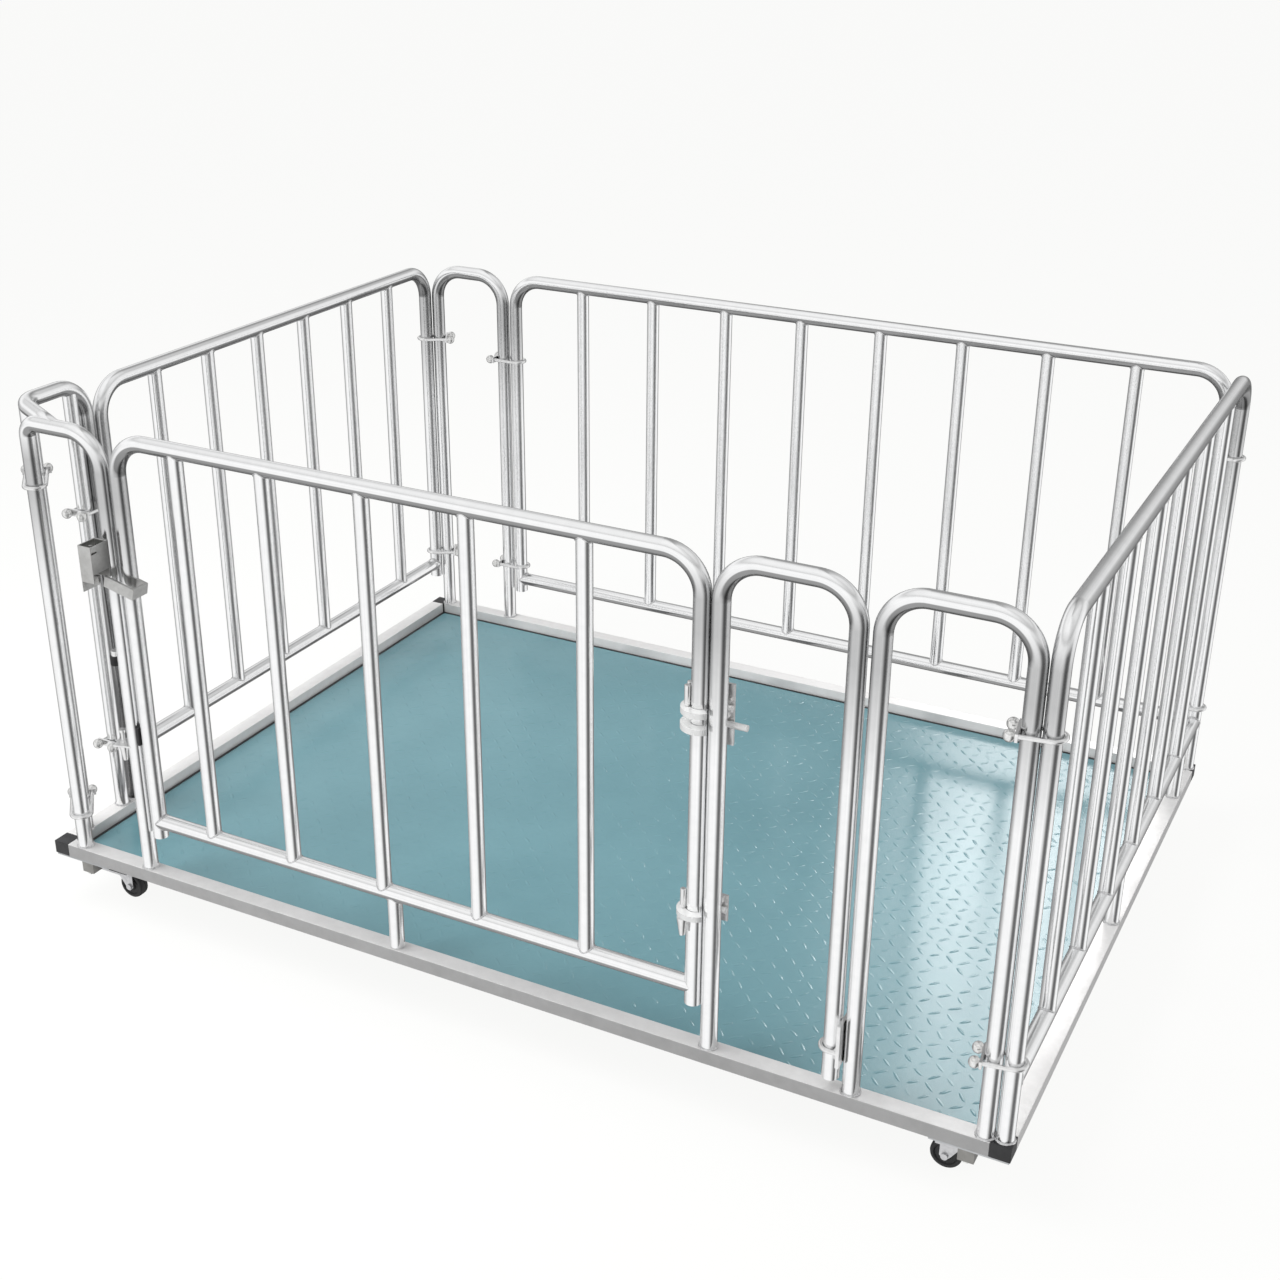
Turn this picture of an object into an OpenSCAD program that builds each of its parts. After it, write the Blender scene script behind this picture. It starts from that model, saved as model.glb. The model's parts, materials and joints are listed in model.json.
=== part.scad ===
// Livestock weighing crate: fenced platform with a hinged gate, on load cells and swivel casters.
// Millimetres, +Z up. Origin on the floor under the middle of the platform.
// +X runs along the front from the latch to the hinges, +Y from front to back.

/* [Platform] */
// Platform length over the rim
platform_l = 1790; // [1740:10:1900]
// Platform width over the rim
platform_w = 1280; // [1200:10:1400]
// Rim tube width
rim_w = 30; // [28:1:36]
// Rim tube height
rim_h = 25; // [20:1:40]
// Rim tube wall
rim_wall = 2; // [1.5:0.5:3]
// Tread plate thickness
deck_t = 3; // [2:0.5:6]
// Gap between tread plate and rim
deck_gap = 2.5; // [1:0.5:4]
// Length of a rim corner cap along each side
cap_l = 32; // [32:1:60]

/* [Fence] */
// Outside diameter of the frame and rail tubes
tube_d = 27; // [25:0.5:27.5]
// Outside diameter of the bars
bar_d = 25; // [20:0.5:26]
// Tube wall
tube_wall = 1.5; // [1:0.25:2.5]
// Rim top to the centre of the top rails
fence_h = 800; // [760:10:1000]
// Centreline radius of the tube bends
bend_r = 60; // [45:1:63]
// Rim top to the centre of the lower rails
rail_h = 102; // [96:1:108]
// Hanging leg ends below the lower rail centre
leg_drop = 30; // [20:1:50]
// Free leg of hoop B ends above the rim
free_leg_h = 17; // [5:1:40]
// Distance between neighbouring legs in one side
pair_pitch = 33; // [32:0.5:36]
// Distance from a side to the next side's leg at the right corners
corner_pitch = 27.5; // [27.5:0.5:34]

/* [Front] */
// Left side to hoop A's right leg
corner_front = 200; // [185:1:220]
// Left side to hoop A's left leg
post_front = 47; // [40:1:52]
// Centreline radius of hoop A's left bend
tight_r = 22; // [20:1:40]
// Hoop B width
hoop_b_w = 198; // [170:1:215]
// Distance between the gate's hinge leg and hoop B
hinge_pitch = 28; // [28:0.5:32]
// Hoop C width
hoop_c_w = 205; // [180:1:225]
// Gate leg to the first gate bar
gate_bar_1 = 123; // [90:1:150]
// Gate leg to the second gate bar
gate_bar_2 = 292; // [260:1:320]
// Gate leg to the third gate bar
gate_bar_3 = 475; // [440:1:510]
// Gate leg to the fourth gate bar
gate_bar_4 = 657; // [620:1:690]
// Gate leg to the fifth gate bar
gate_bar_5 = 852; // [820:1:880]
// Gate leg to the gate's stub foot
gate_foot = 494; // [440:1:600]

/* [Left side] */
// Front side to the corner hoop's side leg
corner_side = 180; // [175:1:210]
// Corner hoop's rail above the other top rails
corner_lift = 16; // [10:1:22]
// Centreline radius of the corner hoop's bend round the corner
plan_r = 46; // [40:1:55]
// Front side to the side corner post
post_side = 45; // [40:1:60]
// Distance from the corner hoop's side leg to its inner bar
inner_bar = 32; // [30:1:38]
// Back side to the far leg of panel G
panel_g_inset = 14; // [14:1:30]
// Number of bars in panel G
panel_g_n = 6; // [4:1:8]

/* [Back side] */
// Left side to the first leg of hoop E
back_inset = 25; // [24:1:40]
// Hoop E width
hoop_e_w = 168; // [140:1:190]
// Number of bars in panel F
panel_f_n = 8; // [5:1:11]

/* [Right side] */
// Front and back sides to the legs of panel D
panel_d_inset = 4; // [0:1:8]
// Number of bars in panel D
panel_d_n = 6; // [4:1:8]
// Near leg of panel D to its first stub foot
panel_d_foot_1 = 623; // [560:1:660]
// Far leg of panel D to its second stub foot
panel_d_foot_2 = 130; // [110:1:190]

/* [Clamps] */
// U-bolt bar diameter
u_bar_d = 7; // [6:0.5:8]
// Strap thickness
strap_t = 4; // [3:0.5:6]
// Strap height
strap_h = 12; // [10:1:16]
// Strap length past each U-bolt leg
strap_edge = 3; // [2:0.5:5]
// Ball nut diameter
ball_d = 18; // [16:0.5:20]
// Upper clamp at the front right corner, above the rim
clamp_fr_h = 645; // [600:1:680]
// Upper clamp at the front left corner, above the rim
clamp_fl_h = 691; // [640:1:700]
// Lower clamp at the front left corner, above the rim
clamp_fl_low_h = 66; // [40:1:90]
// Upper clamps at the back corners, above the rim
clamp_back_h = 646; // [600:1:680]
// Upper clamp between the corner hoop and panel G, above the rim
clamp_g_h = 589; // [560:1:640]
// Upper clamp between hoop E and panel F, above the rim
clamp_f_h = 620; // [580:1:660]
// Lower clamps, above the rim
clamp_low_h = 134; // [132:1:180]
// Height of the tie plate between hoops B and C
tie_h = 74; // [50:1:100]

/* [Gate hinge] */
// Height of the upper eye above the rim
eye_top_z = 569; // [565:1:600]
// Height of the second eye above the rim
eye_mid_z = 544; // [535:1:548]
// Height of the lower eye above the rim
eye_low_z = 236; // [220:1:300]
// Hinge plate height
hinge_plate_h = 96; // [70:1:110]
// Hinge eye width
eye_w = 14; // [10:0.5:15]
// Hinge eye thickness
eye_t = 9; // [7:0.5:10]
// Free length of the rod past the hinge plate
hinge_rod = 24; // [6:1:40]
// Diameter of the lugs on the gate leg
lug_d = 9; // [8:0.5:9.5]
// Length of the lugs on the gate leg
lug_h = 32; // [20:1:45]

/* [Latch] */
// Latch box width
latch_w = 27; // [26:0.5:34]
// Latch box depth
latch_depth = 40; // [38:0.5:42]
// Latch box sheet thickness
latch_t = 2; // [1.5:0.25:2.25]
// Latch box top above the rim
latch_top = 628; // [600:1:650]
// Latch box height
latch_h = 64; // [62:1:70]
// Left wall height below the box
latch_tail = 18; // [10:1:30]
// Strike bar height
strike_h = 20; // [14:0.5:22]
// Strike bar thickness
strike_t = 5; // [3:0.5:5]
// Strike bar fall across the legs, degrees
strike_fall = 13; // [8:0.5:16]

/* [Running gear] */
// Wheel diameter
wheel_d = 50; // [44:1:52]
// Wheel width
wheel_w = 20; // [16:1:22]
// Swivel axis to wheel axle
trail = 18; // [14:1:20]
// Swivel axis in from the platform ends
caster_in_x = 92; // [88:1:96]
// Swivel axis in from the platform sides
caster_in_y = 73; // [72:1:76]
// Caster top plate side
caster_plate = 60; // [56:1:62]
// Caster top plate thickness
caster_plate_t = 4; // [3:0.5:6]
// Fork sheet thickness
fork_t = 2.5; // [2:0.25:3]
// Load cell length
cell_l = 130; // [126:1:150]
// Load cell section
cell_s = 25; // [22:1:32]
// Load cell centre in from the platform ends
cell_in = 66; // [62:0.5:68]
// Foot plate thickness
foot_t = 6; // [5:0.5:10]
// Pad thickness between foot plate and load cell
pad_t = 3.5; // [3:0.5:6]
// Corner plate thickness
corner_t = 4; // [3:0.5:6]
// Bearer height
bearer_h = 18; // [14:1:24]
// Bearer width
bearer_w = 50; // [30:1:60]
// Number of bearers
bearer_n = 5; // [3:1:7]

/* [Hidden] */
$fn = 48;
// Clearances
weld_gap = 0.1;
u_fit = 0.3;
turn_fit = 0.5;
bolt_fit = 0.2;
pin_fit = 0.08;
face_gap = 0.4;
cut = 1;

tube_r = tube_d / 2;
bore_d = tube_d - 2 * tube_wall;

// Running gear heights
crown_gap = 1.5;
crown_t = 2.5;
race_h = 3.6;
race_d = 34;
king_d = 9;
axle_d = 6;
axle_head_d = 11;
axle_head_h = 3;
fork_w = 17;
fork_gap = 1;
hub_proud = 0.6;
hub_d = 18;
caster_h = wheel_d + crown_gap + crown_t + race_h + face_gap + caster_plate_t;
caster_bolt_pitch = 43;
caster_bolt_d = 6;
dome_d = 12;
dome_h = 2.4;
small_nut_d = 11;
small_nut_h = 3.2;
foot_x = 80;
foot_y_out = 46;
foot_y_in = 136;
cell_z = caster_h + foot_t + pad_t;
cell_out = 8;
cell_bolt_d = 8;
cell_bolt_head_d = 13;
cell_bolt_head_h = 4;
cell_bolt_1 = 8;
cell_bolt_2 = 25;
cell_free = 12;
cell_bore_d = 16;
cell_bore_at = 72;
pad_l = 32;
corner_plate_x = 120;
corner_plate_y = 62;
plate_edge = 2;

rim_z = cell_z + cell_s + corner_t;
rim_top = rim_z + rim_h;
deck_l = platform_l - 2 * (rim_w + deck_gap);
deck_w = platform_w - 2 * (rim_w + deck_gap);
half_l = (platform_l - rim_w) / 2;
half_w = (platform_w - rim_w) / 2;
bearer_span = platform_l - 2 * rim_w - 2 * corner_plate_x - bearer_w;
bearer_seat = 6;
bearer_pitch = bearer_span / (bearer_n - 1);

// Leg positions
a_left = -half_l + post_front;
a_right = -half_l + corner_front;
gate_left = a_right + pair_pitch;
c_right = half_l - corner_pitch;
c_left = c_right - hoop_c_w;
b_right = c_left - pair_pitch;
b_left = b_right - hoop_b_w;
gate_right = b_left - hinge_pitch;
gate_w = gate_right - gate_left;
gate_bars_at = [gate_bar_1, gate_bar_2, gate_bar_3, gate_bar_4, gate_bar_5];
h_far = -half_w + corner_side;
// The corner hoop's end lies against the back of hoop A's rail
corner_h = fence_h + corner_lift;
corner_seat = sqrt((tube_d + weld_gap) * (tube_d + weld_gap) - corner_lift * corner_lift);
corner_in = weld_gap * ceil(corner_seat / weld_gap);
corner_run = 24;
bend_x = -half_l + plan_r;
bend_y = -half_w + corner_in + plan_r;
post_side_y = -half_w + post_side;
post_side_x = bend_x - sqrt(plan_r * plan_r - (bend_y - post_side_y) * (bend_y - post_side_y));
post_h = corner_h - tube_d / 4;
g_near = h_far + pair_pitch;
g_far = half_w - panel_g_inset;
e_left = -half_l + back_inset;
e_right = e_left + hoop_e_w;
f_left = e_right + pair_pitch;
f_right = half_l - corner_pitch;
d_near = -half_w + panel_d_inset;
d_far = half_w - panel_d_inset;
panel_d_feet_at = [panel_d_foot_1, d_far - d_near - panel_d_foot_2];
hang_h = rail_h - leg_drop;

// Clamps: strap-side leg, far leg, height above the rim
u_r = tube_r + u_fit + u_bar_d / 2;
strap_w = 2 * u_r + u_bar_d + 2 * strap_edge;
ball_flat = 2;
u_thread = 10;
u_tail = tube_r + u_fit + strap_t + u_thread;
clamps = [
    [[c_right, -half_w], [half_l, d_near], clamp_fr_h],
    [[c_right, -half_w], [half_l, d_near], clamp_low_h],
    [[post_side_x, post_side_y], [a_left, -half_w], clamp_fl_h],
    [[post_side_x, post_side_y], [a_left, -half_w], clamp_fl_low_h],
    [[f_right, half_w], [half_l, d_far], clamp_back_h],
    [[f_right, half_w], [half_l, d_far], clamp_low_h],
    [[e_left, half_w], [-half_l, g_far], clamp_back_h],
    [[e_left, half_w], [-half_l, g_far], clamp_low_h],
    [[-half_l, h_far - inner_bar], [-half_l, g_near], clamp_g_h],
    [[-half_l, h_far - inner_bar], [-half_l, g_near], clamp_low_h],
    [[e_right, half_w], [f_left, half_w], clamp_f_h],
    [[e_right, half_w], [f_left, half_w], clamp_low_h]
];
tie_z = 88;
tie_bolt_z = 72;
tie_t = pair_pitch - tube_d - u_fit - weld_gap;

// Gate hinge
eye_r = tube_r + turn_fit + eye_w / 2;
eye_turn = 225;
eye_lap = 3;
shank_d = 10;
shank_y = tube_r + turn_fit + shank_d / 2;
hinge_plate_t = 4;
hinge_plate_y = shank_y + shank_d / 2 + weld_gap;
hinge_plate_z = (eye_top_z + eye_mid_z) / 2;
eye_shank = hinge_pitch + tube_r;
hinge_pad_w = 12;
hinge_pad_h = 10;
hinge_bolt_d = 5;
hinge_bolt_head_d = 9;
hinge_bolt_head_h = 3.5;
hinge_bolt_x = hinge_pitch + 7;
hinge_bolt_up = 11;
low_plate_h = 44;
low_pad_up = 13;
eyes = [[eye_top_z, 0], [eye_mid_z, hinge_rod], [eye_low_z, 0]];
lug_r = tube_r + lug_d / 2 + weld_gap;
lug_angles = [167, 207];
low_lug_angle = 205;
cup_d = 17;
cup_tip_d = 9;
cup_h = 30;
cup_lip = 4;
hinge_cup_angle = 240;

// Lower-left fitting
stop_z = 243;
stop_plate_t = 3;
stop_plate_l = 36;
stop_plate_w = 26;
stop_angle = 197;
stop_r = tube_r + cup_d / 2 + weld_gap;
spool_d = 13;
spool_neck_d = 8;
spool_h = 26;
spool_flange = 5;
buffer_z = 250;
buffer_h = 34;
buffer_depth = 22;
bush_z = 392;
bush_h = 18;
bush_d = 18;
collar_z = bush_z + bush_h;
bush_collar_d = 15;
bush_collar_h = 9;

// Latch
latch_past = 6;
latch_x1 = a_right + latch_past;
latch_x0 = latch_x1 - latch_w;
latch_back_t = 3;
latch_y1 = -half_w - tube_r - weld_gap;
latch_y0 = latch_y1 - latch_depth;
window_h = 16;
slot_h = 3;
slot_d = 12;
slot_drop = 14;
catch_t = 5;
catch_gap = 1.2;
pivot_in = 12;
pivot_x = latch_x0 + pivot_in;
pivot_drop = 17;
pivot_z = latch_top - pivot_drop;
pivot_d = 6;
collar_d = 9;
catch_hub = 14;
catch_arm_w = 10;
catch_drop = 50;
nose_l = 11;
nose_h = 12;
tab_w = 5;
tab_h = 13;
strike_end = 1;
strike_x0 = latch_x1 + strike_end;
strike_past = 20;
strike_x1 = gate_left + tube_r + strike_past;
strike_drop = 65;
strike_z0 = latch_top - strike_drop;
strike_off = 15;
strike_y = -half_w - tube_r - strike_off - strike_t;
strike_l = (strike_x1 - strike_x0) / cos(strike_fall);
strike_return = (strike_x1 - gate_left) / cos(strike_fall);
strike_hook = -half_w + strike_t / 2 - strike_y;
catch_y = strike_y - catch_gap - catch_t;

// Junction box
box_x = 140;
box_y = 100;
box_h = 40;
box_wall = 2.5;
lid_t = 3;
// In the middle of a bay between two bearers
box_at_x = -bearer_span / 2 + (floor((bearer_n - 1) / 2) + 0.5) * bearer_pitch;
box_at_y = 250;
gland_n = 5;
gland_pitch = 24;
gland_d = 14;
gland_l = 14;
gland_hole = 6;

// Straight tube along +Z
module tube(l, d = tube_d) {
    difference() {
        cylinder(d = d, h = l);
        translate([0, 0, -cut]) cylinder(d = d - 2 * tube_wall, h = l + 2 * cut);
    }
}

// Tube section for the bends
module tube_ring(d, r = bend_r) {
    translate([r, 0]) circle(d = d);
}

// Quarter bend in plan
module plan_bend(r) {
    rotate_extrude(angle = 90)
        difference() {
            tube_ring(tube_d, r);
            tube_ring(bore_d, r);
        }
}

// Quarter bend in the XZ plane, from +X up to +Z
module elbow(r = bend_r) {
    rotate([90, 0, 0]) plan_bend(r);
}

// Bent frame in the XZ plane: first leg at X = 0 with bend r_1, second at X = w
module hoop(w, foot_1, foot_2, r_1 = bend_r) {
    union() {
        translate([0, 0, foot_1]) tube(fence_h - r_1 - foot_1);
        translate([w, 0, foot_2]) tube(fence_h - bend_r - foot_2);
        translate([w - bend_r, 0, fence_h - bend_r]) elbow();
        translate([r_1, 0, fence_h - r_1]) mirror([1, 0, 0]) elbow(r_1);
        translate([r_1, 0, fence_h]) rotate([0, 90, 0]) tube(w - bend_r - r_1);
    }
}

// Space taken by a tube that another one is coped to
module cope(l) {
    translate([0, 0, -l / 2]) cylinder(d = tube_d + 2 * weld_gap, h = l);
}

// Lower rail between the legs of a frame
module rail(w) {
    difference() {
        translate([0, 0, rail_h]) rotate([0, 90, 0]) tube(w);
        for (x = [0, w]) translate([x, 0, rail_h]) cope(4 * tube_d);
    }
}

// Upright bars between lower and top rail
module bars(at) {
    for (x = at) {
        difference() {
            translate([x, 0, rail_h]) tube(fence_h - rail_h, bar_d);
            for (z = [rail_h, fence_h]) translate([x, 0, z]) rotate([0, 90, 0]) cope(4 * tube_d);
        }
    }
}

// Stub feet from the lower rail down towards the rim
module feet(at, gap) {
    for (x = at) {
        difference() {
            translate([x, 0, gap]) tube(rail_h - gap, bar_d);
            translate([x, 0, rail_h]) rotate([0, 90, 0]) cope(4 * tube_d);
        }
    }
}

function even(w, n) = [for (i = [1:n]) w * i / (n + 1)];

module on_front(x) { translate([x, -half_w, rim_top]) children(); }
module on_back(x) { translate([x, half_w, rim_top]) children(); }
module on_left(y) { translate([-half_l, y, rim_top]) rotate([0, 0, 90]) children(); }
module on_right(y) { translate([half_l, y, rim_top]) rotate([0, 0, 90]) children(); }

// Rim tube along X, centred
module rim_tube(l) {
    difference() {
        translate([-l / 2, -rim_w / 2, 0]) cube([l, rim_w, rim_h]);
        translate([-l / 2 - cut, -rim_w / 2 + rim_wall, rim_wall])
            cube([l + 2 * cut, rim_w - 2 * rim_wall, rim_h - 2 * rim_wall]);
    }
}

module rim_front() {
    color("silver") translate([0, -half_w, rim_z]) rim_tube(platform_l - 2 * cap_l);
}

module rim_back() {
    color("silver") translate([0, half_w, rim_z]) rim_tube(platform_l - 2 * cap_l);
}

module rim_left() {
    color("silver") translate([-half_l, 0, rim_z]) rotate([0, 0, 90]) rim_tube(platform_w - 2 * cap_l);
}

module rim_right() {
    color("silver") translate([half_l, 0, rim_z]) rotate([0, 0, 90]) rim_tube(platform_w - 2 * cap_l);
}

// Corner caps join the rim tubes at the four corners
module rim_caps() {
    color("dimgray")
        for (sx = [-1, 1]) for (sy = [-1, 1])
            translate([sx * platform_l / 2, sy * platform_w / 2, rim_z])
                mirror([sx > 0 ? 1 : 0, 0, 0]) mirror([0, sy > 0 ? 1 : 0, 0])
                    difference() {
                        cube([cap_l, cap_l, rim_h]);
                        translate([rim_w, rim_w, -cut]) cube([cap_l, cap_l, rim_h + 2 * cut]);
                    }
}

module deck_plate() {
    color("cadetblue")
        translate([0, 0, rim_z + deck_t / 2])
            cube([deck_l, deck_w, deck_t], center = true);
}

module bearers() {
    bearer_l = platform_w - 2 * rim_w + 2 * bearer_seat;
    color("gray")
        for (i = [0:bearer_n - 1])
            translate([-bearer_span / 2 + i * bearer_pitch, 0, rim_z - bearer_h / 2])
                difference() {
                    cube([bearer_w, bearer_l, bearer_h], center = true);
                    cube([bearer_w - 2 * rim_wall, 2 * bearer_l, bearer_h - 2 * rim_wall], center = true);
                }
}

// Places a corner's parts, drawn for the front left, at all four corners
module corners() {
    for (sx = [-1, 1]) for (sy = [-1, 1]) mirror([sx > 0 ? 1 : 0, 0, 0]) mirror([0, sy > 0 ? 1 : 0, 0])
        translate([-platform_l / 2, -platform_w / 2, 0]) children();
}

// Fixed-end bolt positions of a load cell, from the platform corner
module cell_fixed_bolts() {
    for (y = [cell_bolt_1, cell_bolt_2]) translate([cell_in, cell_out + y, 0]) children();
}

module cell_free_bolt() {
    translate([cell_in, cell_out + cell_l - cell_free, 0]) children();
}

module caster_bolt_places() {
    half_pitch = caster_bolt_pitch / 2;
    for (dx = [-1, 1]) for (dy = [-1, 1])
        translate([caster_in_x + dx * half_pitch, caster_in_y + dy * half_pitch, 0]) children();
}

module corner_plates() {
    color("gray")
        corners()
            difference() {
                translate([plate_edge, plate_edge, rim_z - corner_t])
                    cube([corner_plate_x, corner_plate_y, corner_t]);
                cell_fixed_bolts()
                    translate([0, 0, rim_z - corner_t - cut])
                        cylinder(d = cell_bolt_d + 2 * bolt_fit, h = corner_t + 2 * cut);
            }
}

module load_cells() {
    color("lightgray")
        corners()
            difference() {
                translate([cell_in - cell_s / 2, cell_out, cell_z]) cube([cell_s, cell_l, cell_s]);
                cell_fixed_bolts()
                    translate([0, 0, cell_z - cut])
                        cylinder(d = cell_bolt_d + 2 * bolt_fit, h = cell_s + 2 * cut);
                cell_free_bolt()
                    translate([0, 0, cell_z - cut])
                        cylinder(d = cell_bolt_d + 2 * bolt_fit, h = cell_s + 2 * cut);
                translate([cell_in - cell_s, cell_out + cell_bore_at, cell_z + cell_s / 2])
                    rotate([0, 90, 0]) cylinder(d = cell_bore_d, h = 2 * cell_s);
            }
}

// Foot plates with the pads that the load cells' free ends stand on
module foot_plates() {
    color("gray")
        corners()
            difference() {
                union() {
                    translate([cell_in - cell_s / 2, foot_y_out, caster_h])
                        cube([foot_x, foot_y_in - foot_y_out, foot_t]);
                    translate([cell_in - cell_s / 2, cell_out + cell_l - pad_l, caster_h + foot_t])
                        cube([cell_s, foot_y_in - cell_out - cell_l + pad_l, pad_t]);
                }
                cell_free_bolt()
                    translate([0, 0, caster_h - cut])
                        cylinder(d = cell_bolt_d + 2 * bolt_fit, h = foot_t + pad_t + 2 * cut);
                caster_bolt_places()
                    translate([0, 0, caster_h - cut])
                        cylinder(d = caster_bolt_d + 2 * bolt_fit, h = foot_t + 2 * cut);
            }
}

module cell_bolts() {
    color("darkgray")
        corners() {
            cell_fixed_bolts() {
                translate([0, 0, cell_z - cell_bolt_head_h])
                    cylinder(d = cell_bolt_head_d, h = cell_bolt_head_h, $fn = 6);
                translate([0, 0, cell_z]) cylinder(d = cell_bolt_d, h = cell_s + corner_t);
            }
            cell_free_bolt() {
                translate([0, 0, caster_h - cell_bolt_head_h])
                    cylinder(d = cell_bolt_head_d, h = cell_bolt_head_h, $fn = 6);
                translate([0, 0, caster_h]) cylinder(d = cell_bolt_d, h = foot_t + pad_t + cell_s);
            }
        }
}

module caster_bolts() {
    color("darkgray")
        corners()
            caster_bolt_places() {
                translate([0, 0, caster_h + foot_t]) cylinder(d = dome_d, h = dome_h);
                translate([0, 0, caster_h - caster_plate_t - small_nut_h])
                    cylinder(d = caster_bolt_d, h = small_nut_h + caster_plate_t + foot_t);
                translate([0, 0, caster_h - caster_plate_t - small_nut_h])
                    cylinder(d = small_nut_d, h = small_nut_h, $fn = 6);
            }
}

module caster_plates() {
    color("silver")
        corners()
            difference() {
                translate([caster_in_x, caster_in_y, caster_h - caster_plate_t / 2])
                    cube([caster_plate, caster_plate, caster_plate_t], center = true);
                translate([caster_in_x, caster_in_y, caster_h - caster_plate_t - cut])
                    cylinder(d = king_d + 2 * face_gap, h = caster_plate_t + 2 * cut);
                caster_bolt_places()
                    translate([0, 0, caster_h - caster_plate_t - cut])
                        cylinder(d = caster_bolt_d + 2 * bolt_fit, h = caster_plate_t + 2 * cut);
            }
}

// One caster fork with its swivel pin and axle, drawn about its swivel axis, wheel towards +X
module fork() {
    inner = wheel_w / 2 + fork_gap;
    crown_z = wheel_d + crown_gap;
    color("silver")
        union() {
            translate([0, 0, crown_z]) cylinder(d = race_d, h = crown_t + race_h);
            translate([0, 0, crown_z]) cylinder(d = king_d, h = caster_h - crown_z - face_gap);
            translate([-fork_w / 2, -inner - fork_t, crown_z])
                cube([trail + fork_w, 2 * (inner + fork_t), crown_t]);
            for (s = [-1, 1])
                translate([0, s * (inner + fork_t / 2), 0])
                    rotate([90, 0, 0])
                        translate([0, 0, -fork_t / 2])
                            linear_extrude(fork_t)
                                polygon([
                                    [-fork_w / 2, crown_z + crown_t],
                                    [-fork_w / 2, crown_z],
                                    [trail - fork_w / 2, wheel_d / 2],
                                    [trail, wheel_d / 2 - fork_w / 2],
                                    [trail + fork_w / 2, wheel_d / 2],
                                    [trail + fork_w / 2, crown_z + crown_t]
                                ]);
            translate([trail, inner + fork_t, wheel_d / 2])
                rotate([90, 0, 0]) cylinder(d = axle_d, h = 2 * (inner + fork_t));
            for (s = [-1, 1])
                translate([trail, s * (inner + fork_t), wheel_d / 2])
                    rotate([-90 * s, 0, 0]) cylinder(d = axle_head_d, h = axle_head_h);
        }
}

module wheel() {
    color("dimgray")
        difference() {
            union() {
                translate([trail, wheel_w / 2, wheel_d / 2])
                    rotate([90, 0, 0]) cylinder(d = wheel_d, h = wheel_w);
                translate([trail, wheel_w / 2 + hub_proud, wheel_d / 2])
                    rotate([90, 0, 0]) cylinder(d = hub_d, h = wheel_w + 2 * hub_proud);
            }
            translate([trail, wheel_w, wheel_d / 2])
                rotate([90, 0, 0]) cylinder(d = axle_d + 2 * pin_fit, h = 2 * wheel_w);
        }
}

// Puts a caster part at one corner, with its wheel turned inwards
module caster_at(sx, sy) {
    translate([sx * (platform_l / 2 - caster_in_x), sy * (platform_w / 2 - caster_in_y), 0])
        rotate([0, 0, sx > 0 ? 180 : 0]) children();
}

function gland_at(i) = (i - (gland_n - 1) / 2) * gland_pitch;

module junction_box() {
    color("gray")
        translate([box_at_x, box_at_y, rim_z - box_h])
            difference() {
                translate([-box_x / 2, -box_y / 2, 0]) cube([box_x, box_y, box_h]);
                translate([-box_x / 2 + box_wall, -box_y / 2 + box_wall, -cut])
                    cube([box_x - 2 * box_wall, box_y - 2 * box_wall, box_h - box_wall + cut]);
                for (i = [0:gland_n - 1])
                    translate([gland_at(i), -box_y / 2 - cut, box_h / 2])
                        rotate([-90, 0, 0]) cylinder(d = gland_d / 2 + 2 * bolt_fit, h = box_wall + 2 * cut);
            }
}

module junction_lid() {
    color("dimgray")
        translate([box_at_x - box_x / 2, box_at_y - box_y / 2, rim_z - box_h - lid_t])
            cube([box_x, box_y, lid_t]);
}

module cable_glands() {
    color("dimgray")
        for (i = [0:gland_n - 1])
            translate([box_at_x + gland_at(i), box_at_y - box_y / 2, rim_z - box_h / 2])
                rotate([90, 0, 0])
                    difference() {
                        union() {
                            cylinder(d = gland_d, h = gland_l, $fn = 6);
                            translate([0, 0, -box_wall]) cylinder(d = gland_d / 2, h = box_wall + cut);
                        }
                        translate([0, 0, -box_wall - cut])
                            cylinder(d = gland_hole, h = gland_l + box_wall + 2 * cut);
                    }
}

module hoop_a() { color("silver") on_front(a_left) hoop(a_right - a_left, 0, 0, tight_r); }
module hoop_b() { color("silver") on_front(b_left) hoop(hoop_b_w, 0, free_leg_h); }
module hoop_c() { color("silver") on_front(c_left) hoop(hoop_c_w, 0, 0); }
module hoop_e() { color("silver") on_back(e_left) hoop(hoop_e_w, 0, 0); }

// Frame of the bend round the front left corner, in plan
module at_corner_bend() {
    translate([bend_x, bend_y, rim_top + corner_h]) rotate([0, 0, 180]) children();
}

// One tube: from the back of hoop A's rail, round the corner and down on the left side
module corner_hoop() {
    side_rail = h_far - bend_r - bend_y;
    color("silver")
        union() {
            on_front(bend_x) translate([0, corner_in, corner_h]) rotate([0, 90, 0]) tube(corner_run);
            at_corner_bend() plan_bend(plan_r);
            on_left(bend_y) translate([0, 0, corner_h]) rotate([0, 90, 0]) tube(side_rail);
            on_left(h_far - bend_r) translate([0, 0, corner_h - bend_r]) elbow();
            on_left(h_far) tube(corner_h - bend_r);
        }
}

// Post under the corner hoop's bend
module corner_post_side() {
    color("silver")
        difference() {
            translate([post_side_x, post_side_y, rim_top]) tube(post_h);
            at_corner_bend() rotate_extrude(angle = 90) tube_ring(tube_d + 2 * weld_gap, plan_r);
        }
}

// Inner bar of the corner hoop, from the rim up to its side bend
module corner_bar() {
    color("silver")
        on_left(h_far - inner_bar)
            difference() {
                tube(corner_h, bar_d);
                translate([inner_bar - bend_r, 0, corner_h - bend_r]) above_bend();
            }
}

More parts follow.
